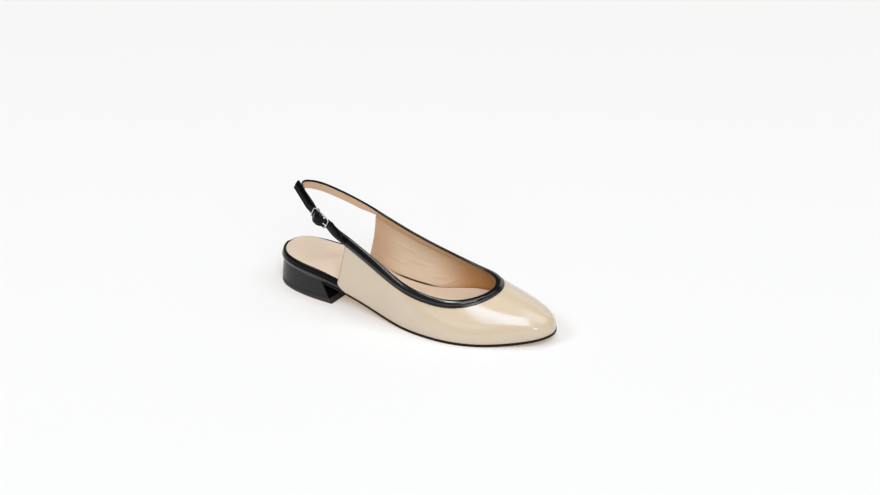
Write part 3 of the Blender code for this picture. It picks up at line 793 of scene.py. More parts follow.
def cream_leather(colours):
    """Polished cream leather, finely pebbled by the collar and drawn smooth over the toe."""
    finish = Finish("cream_leather", specular_ior_level=0.9, specular_tint=(0.50, 0.72, 1.0))
    place = finish.place()
    cloud = finish.noise(place, 26.0, 3.0)
    grain = finish.noise(place, 2600.0, 2.0)
    pebble = finish.noise(place, 1150.0, 1.0)
    pores = finish.between(finish.cells(place, 1500.0), 0.0, 0.34)
    tone = finish.tones(cloud, colours.cream, 0.965, 1.03)
    finish.shade("Base Color", finish.blend(pores, tint(colours.cream, 0.95), tone))
    finish.shade("Roughness", 0.10 + 0.05 * grain + 0.05 * cloud)
    finish.bump(grain * 0.25 + pebble * finish.mark("pebble") * 2.4 + pores * 0.2, 0.06, 0.6)
    return finish.material


def lining_leather(name, colour):
    """Matt lining leather with soft grain and faint rubbed patches."""
    finish = Finish(name)
    lining_grain(finish, colour, tint(colour, 0.94))
    return finish.material


def lining_grain(finish, light, dark):
    """Grain, rubbed streaks and soft clouds of lining leather between two tones."""
    place = finish.place()
    cloud = finish.noise(place, 34.0, 4.0, 0.6)
    streak = finish.noise(finish.add("ShaderNodeMapping", sockets={
        "Vector": place, "Scale": (60.0, 120.0, 520.0)}), 1.0, 3.0)
    grain = finish.noise(place, 1700.0, 3.0)
    tone = finish.blend(finish.between(cloud * 0.7 + streak * 0.3, 0.3, 0.7), dark, light)
    finish.shade("Base Color", tone)
    finish.shade("Roughness", 0.46 + 0.16 * grain)
    finish.bump(grain * 0.6 + streak * 0.6, 0.07, 0.4)
    return tone


def upper_lining(colours):
    """Lining of the upper, with light and shade painted into its colour: paler in the lit middle,
    painted shade towards the rear and deep in the toe, a painted shadow along the footbed and under the
    binding's turned-in edge, and darker towards the collar.
    """
    finish = Finish("upper_lining")
    tone = lining_grain(finish, colours.lining, tint(colours.lining, 0.93))
    # Painted light and shade: the pale lining colour stands for the lit middle, the strap lining's
    # deeper tone for the shade towards the rear, and the toe colour for the shade deep inside the toe.
    tone = finish.blend(finish.mark("rear"), tone, colours.strap_lining)
    tone = finish.blend(finish.mark("toe"), tone, colours.toe_lining_shade)
    # Darker towards the collar, with the painted shadow under the binding's turned-in edge.
    tone = finish.blend(finish.mark("edge") * 0.85, tone, colours.edge_lining)
    # Painted shadow of the gap between the footbed and the lining, along the bottom of the wall.
    seam = finish.between(finish.mark("above"), 0.40, 0.0) * finish.mark("seam")
    finish.shade("Base Color", finish.blend(seam, tone, tint(colours.toe_lining_shade, 0.12)))
    return finish.material


def black_leather(colours, name="black_leather", shine=0.42):
    """Glossy black leather drawn into fine crinkles across its strip."""
    finish = Finish(name, specular_ior_level=shine, coat_roughness=0.07)
    place = finish.place()
    crinkle = finish.noise(finish.strip(1.0, 0.28), 1.1, 3.0, 0.6)
    ripple = finish.noise(finish.strip(0.42, 0.5), 1.0, 2.0)
    grain = finish.noise(place, 1500.0, 2.0)
    finish.shade("Base Color", finish.tones(crinkle, colours.black, 0.7, 1.4))
    finish.shade("Roughness", 0.05 + 0.06 * crinkle)
    finish.shade("Coat Weight", finish.between(crinkle, 0.3, 0.7, 0.3 * shine, 1.3 * shine))
    finish.bump(crinkle * 0.6 + ripple * 0.4 + grain * 0.06, 0.16, 0.5)
    return finish.material


def rand_leather(colours):
    """Black leather of the rand, dull on its roll and burnished along its bead."""
    finish = Finish("rand_leather", specular_ior_level=0.12, coat_roughness=0.06)
    place = finish.place()
    wave = finish.noise(finish.strip(0.16, 0.4), 1.0, 2.0)
    grain = finish.noise(place, 1300.0, 2.0)
    finish.shade("Base Color", finish.tones(wave, colours.black, 0.7, 1.3))
    finish.shade("Roughness", 0.24 + 0.1 * grain)
    finish.shade("Coat Weight", finish.between(finish.mark("height"), 4.9, 4.2, 0.10, 1.0))
    finish.bump(wave * 0.6 + grain * 0.15, 0.16, 0.4)
    return finish.material


def heel_cover(colours):
    """Black lacquer over the heel, with faint waves left by polishing."""
    finish = Finish("heel_cover", specular_ior_level=0.4)
    place = finish.place()
    wave = finish.noise(place, 60.0, 2.0)
    haze = finish.noise(place, 900.0, 3.0)
    finish.shade("Base Color", finish.tones(haze, colours.black, 0.85, 1.25))
    finish.shade("Roughness", 0.15 + 0.10 * haze)
    finish.bump(wave * 0.7 + haze * 0.1, 0.10, 0.3)
    return finish.material


def lift_rubber(colours):
    """Matt rubber of the top lift, with moulding speckle."""
    finish = Finish("lift_rubber")
    place = finish.place()
    speckle = finish.noise(place, 1900.0, 3.0, 0.7)
    dust = finish.noise(place, 120.0, 3.0)
    finish.shade("Base Color", finish.tones(dust, colours.lift, 1.0, 1.6))
    finish.shade("Roughness", 0.52 + 0.2 * speckle)
    finish.bump(speckle, 0.05, 0.5)
    return finish.material


def sole_leather(colours):
    """Dark sole leather, stained and waxed, with fibres along its length."""
    finish = Finish("sole_leather", specular_ior_level=0.08)
    place = finish.place()
    fibre = finish.noise(finish.add("ShaderNodeMapping", sockets={
        "Vector": place, "Scale": (160.0, 900.0, 900.0)}), 1.0, 3.0)
    cloud = finish.noise(place, 40.0, 3.0)
    finish.shade("Base Color", finish.tones(cloud, colours.sole, 0.8, 1.3))
    finish.shade("Roughness", 0.36 + 0.22 * fibre)
    finish.bump(fibre, 0.05, 0.4)
    return finish.material


def buckle_metal(colours):
    """Polished buckle metal with fine rubbing marks."""
    finish = Finish("buckle_metal", metallic=1.0)
    place = finish.place()
    rub = finish.noise(place, 2400.0, 2.0)
    cloud = finish.noise(place, 500.0, 2.0)
    finish.shade("Base Color", finish.tones(cloud, colours.metal, 0.9, 1.0))
    finish.shade("Roughness", 0.16 + 0.14 * rub)
    finish.bump(rub, 0.02, 0.3)
    return finish.material


def thread(name, colour):
    """Twisted sewing thread."""
    finish = Finish(name)
    twist = finish.noise(finish.strip(6.0, 2.0), 1.0, 1.0)
    finish.shade("Base Color", finish.tones(twist, colour, 0.8, 1.1))
    finish.shade("Roughness", 0.62 + 0.1 * twist)
    finish.bump(twist, 0.06, 0.5)
    return finish.material


STITCH_RINGS = [(-0.5, 0.25, -0.9), (-0.38, 0.85, -0.15), (-0.16, 1.0, 0.12), (0.16, 1.0, 0.12),
                (0.38, 0.85, -0.15), (0.5, 0.25, -0.9)]
STITCH_SIDES = 7


def stitch_row(name, points, out, sizes, material):
    """Row of single stitches along a line of points, each sunk at its ends."""
    pitch, length = sizes.stitch_pitch / MM, sizes.stitch_length / MM
    radius = sizes.thread_width / MM / 2
    run = lengths(points)
    places = np.arange(pitch / 2, run[-1] - pitch / 2, pitch)

    def at(values, where):
        return np.stack([np.interp(where, run, values[:, k]) for k in range(3)], axis=-1)

    middle = at(points, places)
    ahead = unit(at(points, places + 0.3) - at(points, places - 0.3))
    up = unit(at(out, places))
    side = np.cross(up, ahead)
    turns = np.linspace(0.0, 2 * math.pi, STITCH_SIDES, endpoint=False)
    body, faces, along = [], [], []
    ring_faces = lattice(len(STITCH_RINGS), STITCH_SIDES, wrap_columns=True)
    count = len(STITCH_RINGS) * STITCH_SIDES
    for k in range(len(places)):
        for place, width, rise in STITCH_RINGS:
            for turn in turns:
                body.append(middle[k] + ahead[k] * place * length
                            + up[k] * radius * (rise + width * math.sin(turn))
                            + side[k] * radius * width * math.cos(turn))
                along.append(places[k] + place * length)
        faces += (ring_faces + k * count).tolist()
        faces.append([k * count + j for j in range(STITCH_SIDES)][::-1])
        faces.append([(k + 1) * count - STITCH_SIDES + j for j in range(STITCH_SIDES)])
    marks = {"along": along, "across": np.tile(np.tile(turns, len(STITCH_RINGS)), len(places))}
    return outward(make_piece(name, np.array(body), faces, material, marks=marks))


def build_upper(sizes, colours):
    """Vamp and quarters in one wall: polished leather outside, lining inside, stitched edges."""
    leather, lining = sizes.leather / MM, WALL - sizes.leather / MM
    outer, inner, above, collar_tone_and_turn_in_shadow = [], [], [], []
    for t in np.linspace(0.0, 1.0, 84) ** 1.1:
        s = between_ends(lambda s, t=t: t, 300)
        out = wall_out(s, t)
        outer.append(wall(s, t) - out * creased(s, t, LEATHER_CREASES)[:, None])
        below = (1.0 - t) * np.linalg.norm(wall(s, 1.0) - wall(s, 0.9), axis=-1) / 0.1
        hollow = leather + LINING_GAP + TURN_IN_RISE * ease((TURN_IN - below) / 1.6 + 0.5)
        hollow += creased(s, t, LINING_CREASES) * ease((1.0 - t) / 0.1)
        points = wall(s, t) - out * hollow[:, None]
        x = points[:, 0]
        inner.append(points)
        # Darker towards the collar, plus a painted shadow along the binding's turned-in edge under the
        # lining.
        collar_tone_and_turn_in_shadow.append(np.exp(-np.clip(below - 4.0, 0.0, None) / 9.0)
                         + 0.3 * np.exp(-((below - TURN_IN) / 1.0) ** 2))
        cup = bed_cup(x) + sizes.toe_cup / MM * toe_edge(x) * (points[:, 1] > 0.0)
        above.append(points[:, 2] - bed(x) - bed_thickness(x) - cup)
    cream = cream_leather(colours)
    tan = upper_lining(colours)
    inner = np.stack(inner, axis=1)
    x = inner[..., 0]
    marks = {"above": np.stack(above, axis=1), "edge": np.stack(collar_tone_and_turn_in_shadow, axis=1),
             # Marks for painted shade, deeper towards the toe and towards the rear.
             "toe": ease((x - 122.0) / 44.0), "rear": ease((104.0 - x) / 30.0),
             # Painted shadow along the footbed, from behind the waist, weaker towards the toe.
             "seam": ease((x - 86.0) / 18.0) * (1.0 - 0.75 * ease((x - 120.0) / 14.0))}
    outer = np.stack(outer, axis=1)
    pebble = {"pebble": 0.15 + 0.85 * ease((214.0 - outer[..., 0]) / 36.0)}
    sheet_piece("upper_leather", outer, leather, cream, "upper", pebble)
    sheet_piece("upper_lining", inner, lining - LINING_GAP, tan, "upper", marks)
    sewing = thread("cream_thread", colours.cream_thread)
    for side, name in ((-1, "outer"), (1, "inner")):
        t = np.linspace(0.16, 0.90, 60)
        s = np.array([quarter_end(lambda s, t=t: t, side, 0.8) for t in t])
        out = wall_out(s, t)
        stitch_row(f"quarter_stitches_{name}", wall(s, t) + out * 0.02, out, sizes, sewing)


def binding_line(down, out):
    """Points and outward directions along the binding at a place of its section.

    Towards the outer back end the roll is higher, deeper and leans inward.
    """
    def rear(s):
        x, y, _ = np.moveaxis(collar(s), -1, 0)
        return ease((146.0 - x) / 44.0) * ease(-y / 16.0)

    def share(s):
        plain = below_collar(max(down, 0.0))(s)
        return plain - (1.0 - plain) * 0.12 * rear(s)

    s = between_ends(share, COLLAR_ROWS)
    square = wall_out(s, share(s))
    rise = unit(wall(s, 1.0) - wall(s, 0.97)) * (max(-down, 0.0) * (1.0 + 0.5 * rear(s)))[..., None]
    lean = rear(s) * (0.24 * max(5.0 - down, 0.0) - 0.98 * ease((5.6 - down) / 1.6))
    return wall(s, share(s)) + square * (out - lean)[..., None] + rise, square


def ring_section(root=None, count=72):
    """Even places round the binding's section and the strap's, with the distance round it."""
    root = root or {}
    rows = [(*root.get(row.place, (row.down, row.out)), row.across, row.face) for row in BINDING_RING]
    knots = lengths([(row.down, row.out) for row in BINDING_RING], closed=True)
    round_by = np.linspace(0.0, knots[-1], count, endpoint=False)
    return spline(knots, rows, closed=True)(round_by), round_by


def binding_loops(section):
    """Loops of a section along the collar, from the outer back edge to the inner one."""
    return np.stack([binding_line(row[0], row[1])[0] for row in section], axis=1)


def strip_marks(loops, round_by):
    """Distances along and round a strip, for its crinkles."""
    steps = np.linalg.norm(np.diff(loops, axis=0), axis=-1)
    along = np.vstack([np.zeros((1, loops.shape[1])), np.cumsum(steps, axis=0)])
    return {"along": along, "across": np.broadcast_to(round_by, along.shape)}


def build_binding(sizes, colours):
    """Rolled strip over the collar's edge, sewn along its lip."""
    section, round_by = ring_section()
    loops = binding_loops(section)
    outward(loft_piece("topline_binding_roll", loops, black_leather(colours), "topline_binding",
                       strip_marks(loops, round_by)))
    points, square = binding_line(STITCH_BED[0], STITCH_BED[1] + STITCH_LIFT)
    stitch_row("binding_stitches", points, square, sizes, thread("dark_thread", colours.dark_thread))


def at_buckle(along, out=0.0, sideways=0.0):
    """Point in the buckle's own frame: along the strap, outward, and across it."""
    return BUCKLE_CENTRE + BUCKLE_RUN * along + BUCKLE_OUT * out + BUCKLE_ACROSS * sideways


def smooth_path(stops, count):
    """Even points on a spline through the stops."""
    knots = lengths(stops)
    return spline(knots, stops)(np.linspace(0.0, knots[-1], count))


def heel_strap_path():
    """Middle line of the sling, over the centre bar and back inside."""
    stops = [(s.x, s.y, s.z) for s in HEEL_STRAP]
    stops += [at_buckle(row.along, row.out) for row in FOLD_UP]
    turn = [at_buckle(FOLD_CREST.along, FOLD_CREST.out)]
    turn += [at_buckle(-TURN_RADIUS * math.cos(a), TURN_RADIUS * math.sin(a)) for a in FOLD_TURN]
    turn += [at_buckle(row.along, row.out) for row in FOLD_BACK]
    sling = smooth_path(stops, SLING_ROWS + 1)
    return np.vstack([sling, smooth_path(np.vstack([sling[-1:], turn]), 90)[1:]])


def buckle_strap_path():
    """Middle line of the short strap: under, over and under the bars, then a straight tail."""
    weave = []
    first, last = -FRAME_HALF_LENGTH - WEAVE_LEAD, FRAME_HALF_LENGTH + WEAVE_EXIT
    for along in np.linspace(first, last, WEAVE_ROWS):
        share = np.clip((abs(along) - LAP_FLAT) / (FRAME_HALF_LENGTH - LAP_FLAT), 0.0, 1.0)
        lap = (1 + math.cos(share * math.pi)) / 2
        weave.append(at_buckle(along, BAR_DIP + (BAR_LAP - BAR_DIP) * lap))
    stops = [(s.x, s.y, s.z) for s in BUCKLE_STRAP]
    lead = smooth_path(np.vstack([stops, weave[:1]]), LEAD_ROWS + 1)[:-1]
    tail = weave[-1] + (TAIL_END - weave[-1]) * np.linspace(0.0, 1.0, 60)[1:, None]
    return np.vstack([lead, weave, tail])


def strap_frame(strap):
    """Middle line, upright and outward directions of a strap that leans about its upper edge."""
    run = unit(np.gradient(strap.path, axis=0))
    up = unit(np.array([0.0, 0.0, 1.0]) - run * run[:, 2:])
    share = ease((lengths(strap.path) - strap.square_from + STRAP_TWIST) / STRAP_TWIST)[:, None]
    up = up * (1.0 - share) + BUCKLE_ACROSS * share
    up = unit(up - run * np.sum(up * run, axis=1, keepdims=True))
    out = np.cross(run, up) * strap.outer_side
    lean = np.broadcast_to(strap.lean, len(run))[:, None]
    middle = strap.path + out * np.sin(lean) * strap.width / 2
    return middle, up * np.cos(lean) - out * np.sin(lean), out * np.cos(lean) + up * np.sin(lean)


def run_out(start, before, end, after, count):
    """Loops that leave one loop and settle into another, smooth at both."""
    reach = np.linalg.norm(end - start, axis=-1, keepdims=True)
    leave, arrive = unit(start - before) * reach, unit(after - end) * reach
    t = np.linspace(0.0, 1.0, count)[:, None, None]
    fall = (2.0 * t - 3.0) * t * t + 1.0
    return (fall * start + (1.0 - fall) * end
            + t * (1.0 - t) ** 2 * leave - t * t * (1.0 - t) * arrive)


def strap_loops(strap, section, first_loops, last=None):
    """Loops of a section along a strap, out of the binding's own end."""
    middle, up, out = strap_frame(strap)
    settled = int(np.searchsorted(lengths(strap.path), STRAP_SETTLE))
    loops = []
    for row in section:
        half = strap.width / 2 + np.broadcast_to(strap.fall if row[2] < 0.0 else strap.rise, len(up))
        loops.append(middle + up * row[2] * half[:, None] + out * row[3])
    loops = np.stack(loops, axis=1)
    run = lengths(strap.path)
    near_end = ease((run - run[-1]) / 6.0 + 1.0)[:, None]
    point = strap.tip * near_end * ease((section[:, 2] + 1.0) / 1.8)
    loops += unit(np.gradient(strap.path, axis=0))[:, None] * point[..., None]
    start, before = first_loops
    first = run_out(start, before, loops[settled], loops[settled + 1], 24)
    return np.vstack([first, loops[settled + 1:last]])


def punch(piece, strap):
    """Cut the round holes of a strap's tail, at distances from its end."""
    middle, _, out = strap_frame(strap)
    run = lengths(strap.path)
    for place in TAIL_HOLES:
        k = int(np.searchsorted(run, run[-1] - place))
        bpy.ops.mesh.primitive_cylinder_add(vertices=24, radius=HOLE_RADIUS * MM, depth=6 * MM)
        tool = bpy.context.object
        tool.matrix_world = Vector(out[k]).to_track_quat("Z", "Y").to_matrix().to_4x4()
        tool.location = placed(middle[k])
        cut = piece.modifiers.new("hole", "BOOLEAN")
        cut.operation = "DIFFERENCE"
        cut.solver = "EXACT"
        cut.object = tool
        bpy.context.view_layer.update()
        solid = piece.evaluated_get(bpy.context.evaluated_depsgraph_get())
        cut_mesh = bpy.data.meshes.new_from_object(solid)
        piece.modifiers.clear()
        piece.data = cut_mesh
        bpy.data.objects.remove(tool)


def lining_section(count=14):
    """Places round the strap's lining, from its upper edge down the face and back behind it."""
    share = np.linspace(0.0, 1.0, count)
    down, across = 0.7 + 5.3 * share, 0.58 - 1.56 * share
    face = np.stack([down, np.full(count, -1.66), across, np.full(count, -0.78)], axis=1)
    back = np.stack([down, np.full(count, -1.05), across, np.full(count, -0.30)], axis=1)
    return np.vstack([face, back[::-1]])


def sewing_line(loops, section):
    """Points and outward directions along the stitch bed of a strip's loops."""
    k = int(np.argmin(np.hypot(section[:, 0] - STITCH_BED[0], section[:, 1] - STITCH_BED[1])))
    points = loops[:, k]
    square = unit(np.cross(np.gradient(points, axis=0), loops[:, k + 1] - loops[:, k - 1]))
    away = np.sum(square * (points - loops.mean(axis=1)), axis=1, keepdims=True)
    return points + square * np.sign(away) * STITCH_LIFT, square * np.sign(away)


def heel_sling():
    """Sling from the inner quarter, its end narrowed on its upper side beside the turn round the centre
    bar.
    """
    path = heel_strap_path()
    rows = np.arange(len(path)) - SLING_ROWS
    turned = ease((rows - 4.0) / 10.0) * ease((52.0 - rows) / 10.0)
    skived = ease((rows + 26.0) / 24.0) * (1.0 - turned)
    return Strap(
        node="heel_strap", path=path, outer_side=1.0, width=HEEL_STRAP_WIDTH, lean=0.0,
        rise=0.4 - 2.2 * skived, fall=0.5, tip=0.0, square_from=lengths(path)[SLING_ROWS] - 8.0,
        end=-1, before=-2, reach=4.7, lined_to=SLING_ROWS - 14, sewn_to=SLING_ROWS - 8)


def short_strap():
    """Strap from the outer quarter, held upright in the buckle and leaning where it is free."""
    path = buckle_strap_path()
    rows = np.arange(len(path)) - LEAD_ROWS
    held = ease((rows + 26.0) / 32.0) * ease((WEAVE_ROWS + 12.0 - rows) / 16.0)
    woven = ease((rows - 6.0) / 6.0) * ease((WEAVE_ROWS + 4.0 - rows) / 8.0)
    return Strap(
        node="buckle_strap", path=path, outer_side=-1.0, width=BUCKLE_STRAP_WIDTH,
        lean=STRAP_LEAN * (1.0 - 0.7 * held), rise=0.7 * ease((2.0 - rows) / 6.0) + 0.35 * woven,
        fall=0.15, tip=TAIL_POINT, square_from=lengths(path)[LEAD_ROWS],
        end=0, before=1, reach=5.9, lined_to=LEAD_ROWS - 3, sewn_to=LEAD_ROWS - 2)


def build_straps(sizes, colours):
    """Heel sling and short buckle strap, black outside and lined inside."""
    black = black_leather(colours, "strap_leather", 0.09)
    tan = lining_leather("strap_lining", colours.strap_lining)
    sewing = thread("strap_thread", colours.dark_thread)
    section, round_by = ring_section()
    inside = lining_section()
    for strap in (heel_sling(), short_strap()):
        cut, inside_cut = ring_section(STRAP_ROOT)[0], inside.copy()
        cut[:, 0] = np.minimum(cut[:, 0], strap.reach)
        inside_cut[:, 0] *= strap.reach / inside[:, 0].max()
        ends, inside_ends = binding_loops(cut), binding_loops(inside_cut)
        loops = strap_loops(strap, section, (ends[strap.end], ends[strap.before]))
        outer = outward(loft_piece(f"{strap.node}_leather", loops, black, strap.node,
                                   strip_marks(loops, round_by)))
        tan_loops = strap_loops(strap, inside, (inside_ends[strap.end], inside_ends[strap.before]),
                                strap.lined_to)
        lining = outward(loft_piece(f"{strap.node}_lining", tan_loops, tan, strap.node))
        soften(lining, 0.12)
        sewn = strap_loops(strap, section, (ends[strap.end], ends[strap.before]), strap.sewn_to)
        points, square = sewing_line(sewn, section)
        stitch_row(f"{strap.node}_stitches", points, square, sizes, sewing)
        if strap.node == "buckle_strap":
            punch(outer, strap)


def round_bar(points, radii, across, sides=14):
    """Loops of a round bar along points, with one fixed direction across it."""
    run = unit(np.gradient(points, axis=0))
    first = unit(across - run * np.sum(run * across, axis=1, keepdims=True))
    second = np.cross(run, first)
    turns = np.linspace(0.0, 2 * math.pi, sides, endpoint=False)
    return np.stack([points + (first * math.cos(a) + second * math.sin(a)) * radii[:, None]
                     for a in turns], axis=1)


def build_buckle(sizes, colours):
    """Wire frame with its centre bar, and the prong lying on the front bar."""
    metal = buckle_metal(colours)
    ring = []
    for turn, (length, width) in enumerate(((1, 1), (-1, 1), (-1, -1), (1, -1))):
        for angle in np.radians(np.linspace(0.0, 90.0, 12) + 90.0 * turn):
            ring.append((length * (FRAME_HALF_LENGTH - FRAME_CORNER) + FRAME_CORNER * math.cos(angle),
                         width * (FRAME_HALF_WIDTH - FRAME_CORNER) + FRAME_CORNER * math.sin(angle)))
    line = np.array([at_buckle(along, 0.0, sideways) for along, sideways in ring])
    run = unit(np.roll(line, -1, axis=0) - np.roll(line, 1, axis=0))
    side = np.cross(run, BUCKLE_OUT)
    turns = np.linspace(0.0, 2 * math.pi, 16, endpoint=False)
    radius = sizes.wire / MM
    loops = np.stack([line + (side * math.cos(a) + BUCKLE_OUT * math.sin(a)) * radius
                      for a in turns], axis=1)
    points = loops.reshape(-1, 3)
    faces = lattice(len(line), len(turns), wrap_rows=True, wrap_columns=True).tolist()
    reach = np.linspace(-FRAME_HALF_WIDTH, FRAME_HALF_WIDTH, 12)
    bar = np.array([at_buckle(0.0, 0.0, sideways) for sideways in reach])
    bar_loops = round_bar(bar, np.full(len(bar), radius * 0.9), BUCKLE_OUT)
    start, count, sides = len(points), *bar_loops.shape[:2]
    points = np.vstack([points, bar_loops.reshape(-1, 3)])
    faces += (lattice(count, sides, wrap_columns=True) + start).tolist()
    faces.append([start + k for k in range(sides)][::-1])
    faces.append([start + (count - 1) * sides + k for k in range(sides)])
    outward(make_piece("buckle_wire", points, faces, metal, "buckle_frame"))
    path = smooth_path([at_buckle(row.along, row.out) for row in PRONG], PRONG_ROWS)
    radii = PRONG_RADIUS - PRONG_TAPER * np.linspace(0.0, 1.0, PRONG_ROWS)
    radii[-len(PRONG_TIP):] *= PRONG_TIP
    outward(loft_piece("buckle_tongue", round_bar(path, radii, BUCKLE_ACROSS), metal, "buckle_prong"))


def build_footbed(sizes, colours):
    """Lined footbed over the whole length, dished, with its forefoot edges cupped."""
    half = (1.0 - np.cos(np.linspace(0.02, 0.982, 150) * math.pi)) / 2
    back, toe = PLACES["back"], PLACES["toe"]
    outer_s = back + (AROUND + toe - back) * half
    inner_s = back + (toe - back) * half
    inner_x = plan(inner_s)[..., :1]
    gap = sizes.sock_gap / MM * ease((inner_x - 66.0) / 14.0) * ease((152.0 - inner_x) / 22.0)

    def across(inset, share):
        outer = edge(outer_s, bed_inset(outer_s) + inset)
        inner = edge(inner_s, bed_inset(inner_s) + inset + gap)
        return outer + (inner - outer) * share

    def top(points, share, drop):
        x = points[..., 0]
        cup = bed_cup(x) * abs(2.0 * share - 1.0) ** 5
        cup += sizes.toe_cup / MM * toe_edge(x) * share ** 7
        dish = BED_DISH * math.sin(math.pi * share)
        return raised(points, bed(x) + bed_thickness(x) + cup - dish - drop)

    def under(points):
        return raised(points, bed(points[..., 0]) + SEAM_GAP)

    rims = ((0.0, 0.9), (0.1, 0.5), (0.4, 0.15))
    loop = [under(across(0.0, 0.0))]
    loop += [top(across(inset, 0.0), 0.0, drop) for inset, drop in rims]
    for share in (1.0 - np.cos(np.linspace(0.0, math.pi, 33))) / 2:
        loop.append(top(across(1.0, share), share, 0.0))
    loop += [top(across(inset, 1.0), 1.0, drop) for inset, drop in rims[::-1]]
    loop += [under(across(0.0, share)) for share in (1.0, 2 / 3, 1 / 3)]
    tan = lining_leather("footbed_leather", colours.sock)
    outward(loft_piece("footbed", np.stack(loop, axis=1), tan, "insole"))


def build_rand(sizes, colours):
    """Wrapped band round the open seat, with a bead along its foot."""
    rows = [(row.inset, row.height) for row in RAND]
    knots = lengths(rows, closed=True)
    round_by = np.linspace(0.0, knots[-1], 64, endpoint=False)
    section = spline(knots, rows, closed=True)(round_by)
    loops = []
    for inset, height in section:
        s = np.linspace(edge_behind(height, 1), edge_behind(height, -1), 200)
        points = edge(s, inset)
        low = sizes.rand_fall / MM * (1.0 + 1.5 * ease((34.0 - points[..., 0]) / 18.0))
        low = low * ease((points[..., 1] + 5.0) / 8.0) * ease((height - 5.0) / 3.0)
        loops.append(raised(points, bed(points[..., 0]) + height - low))
    loops = np.stack(loops, axis=1)
    marks = strip_marks(loops, round_by)
    marks["height"] = np.broadcast_to(section[:, 1], loops.shape[:2])
    leather = rand_leather(colours)
    outward(loft_piece("heel_rand_wrap", loops, leather, "heel_rand", marks))


def heel_section(inset, breast, height):
    """Level cut of the heel: round at the back, straight across the breast."""
    inner, outer = edge_at(breast, 1), edge_at(breast, -1)
    points = edge(inner + (outer - inner) * np.linspace(0.0, 1.0, 130), inset)
    points[..., 0] -= np.clip(breast_line(*points.T) - breast, 0.0, None)
    return raised(points, height(points[..., 0]))


def breast_at(height):
    """Place of the slanted breast at a height."""
    return BREAST_FOOT + (BREAST_TOP - BREAST_FOOT) * height / SEAT_HEIGHT


def build_heel(colours):
    """Lacquered block heel on its rubber top lift."""
    block = []
    for share in np.linspace(0.0, 1.0, 24):
        inset = HEEL_FOOT_INSET + (HEEL_TOP_INSET - HEEL_FOOT_INSET) * share ** 1.5
        inset += HEEL_HOLLOW * math.sin(share * math.pi)
        height = LIFT_HEIGHT + (SEAT_HEIGHT - SEAM_GAP - LIFT_HEIGHT) * share

        def level(x, share=share):
            return LIFT_HEIGHT + (bed(x) - SEAM_GAP - LIFT_HEIGHT) * share

        block.append(heel_section(inset, breast_at(height), level))
    piece = loft_piece("heel_cover", np.stack(block), heel_cover(colours), "heel_block")
    soften(outward(piece), 0.35)
    lift = []
    for row in LIFT_EDGE:
        lift.append(heel_section(HEEL_FOOT_INSET + row.inset, breast_at(row.height),
                                 lambda x, row=row: np.full_like(x, row.height)))
    piece = loft_piece("heel_lift", np.stack(lift), lift_rubber(colours), "top_lift")
    soften(outward(piece), 0.2)


def build_outsole(colours):
    """Thin waxed sole from the heel breast to the toe, with a trimmed edge."""
    shares = np.sin(np.linspace(0.0, 0.992, 170) * math.pi / 2)
    toe = PLACES["toe"]
    outer_rear, inner_rear = edge_at(SOLE_REAR, -1), edge_at(SOLE_REAR, 1)
    outer_s = outer_rear + (AROUND + toe - outer_rear) * shares
    inner_s = inner_rear + (toe - inner_rear) * shares

    def rim(s, row):
        points = edge(s, row.inset)
        x = points[..., 0]
        return raised(points, bed(x) - sole_thickness(x) * row.thickness_share + row.height)

    loop = [rim(outer_s, row) for row in SOLE_EDGE]
    loop += [rim(inner_s, row) for row in SOLE_EDGE[::-1]]
    piece = loft_piece("sole_leather", np.stack(loop, axis=1), sole_leather(colours), "outsole")
    soften(outward(piece), 0.1)


def stand(name, data, azimuth, elevation, distance):
    """Light or camera that faces the shoe from a place round it: azimuth 90 is ahead of the toe."""
    turn, rise = math.radians(azimuth), math.radians(elevation)
    level = math.cos(rise)
    away = Vector((math.sin(turn) * level, -math.cos(turn) * level, math.sin(rise)))
    item = bpy.data.objects.new(name, data)
    item.location = Vector(placed(CAMERA_TARGET)) + away * distance
    item.rotation_mode = "QUATERNION"
    item.rotation_quaternion = away.to_track_quat("Z", "Y")
    bpy.context.scene.collection.objects.link(item)
    return item


def area_light(box, radiance):
    """Soft box as bright as its radiance, wherever it stands."""
    data = bpy.data.lights.new(box.name, "AREA")
    data.shape = "RECTANGLE"
    data.size, data.size_y = box.width, box.height
    data.energy = radiance * box.width * box.height * 4.0
    stand(box.name, data, box.azimuth, box.elevation, box.distance)


def studio_world(stage):
    """Surroundings, dark near the floor and paler overhead."""
    world = bpy.data.worlds.new("studio")
    bpy.context.scene.world = world
    world.use_nodes = True
    tree = world.node_tree
    place = tree.nodes.new("ShaderNodeTexCoord")
    parts = tree.nodes.new("ShaderNodeSeparateXYZ")
    rise = tree.nodes.new("ShaderNodeMapRange")
    rise.interpolation_type = "SMOOTHSTEP"
    rise.inputs["From Min"].default_value = math.sin(math.radians(stage.horizon_low))
    rise.inputs["From Max"].default_value = math.sin(math.radians(stage.horizon_high))
    rise.inputs["To Min"].default_value = stage.horizon_light
    rise.inputs["To Max"].default_value = stage.ceiling_light
    tree.links.new(place.outputs["Generated"], parts.inputs[0])
    tree.links.new(parts.outputs["Z"], rise.inputs["Value"])
    tree.nodes["Background"].inputs["Color"].default_value = (1.0, 1.0, 1.0, 1.0)
    tree.links.new(rise.outputs[0], tree.nodes["Background"].inputs["Strength"])


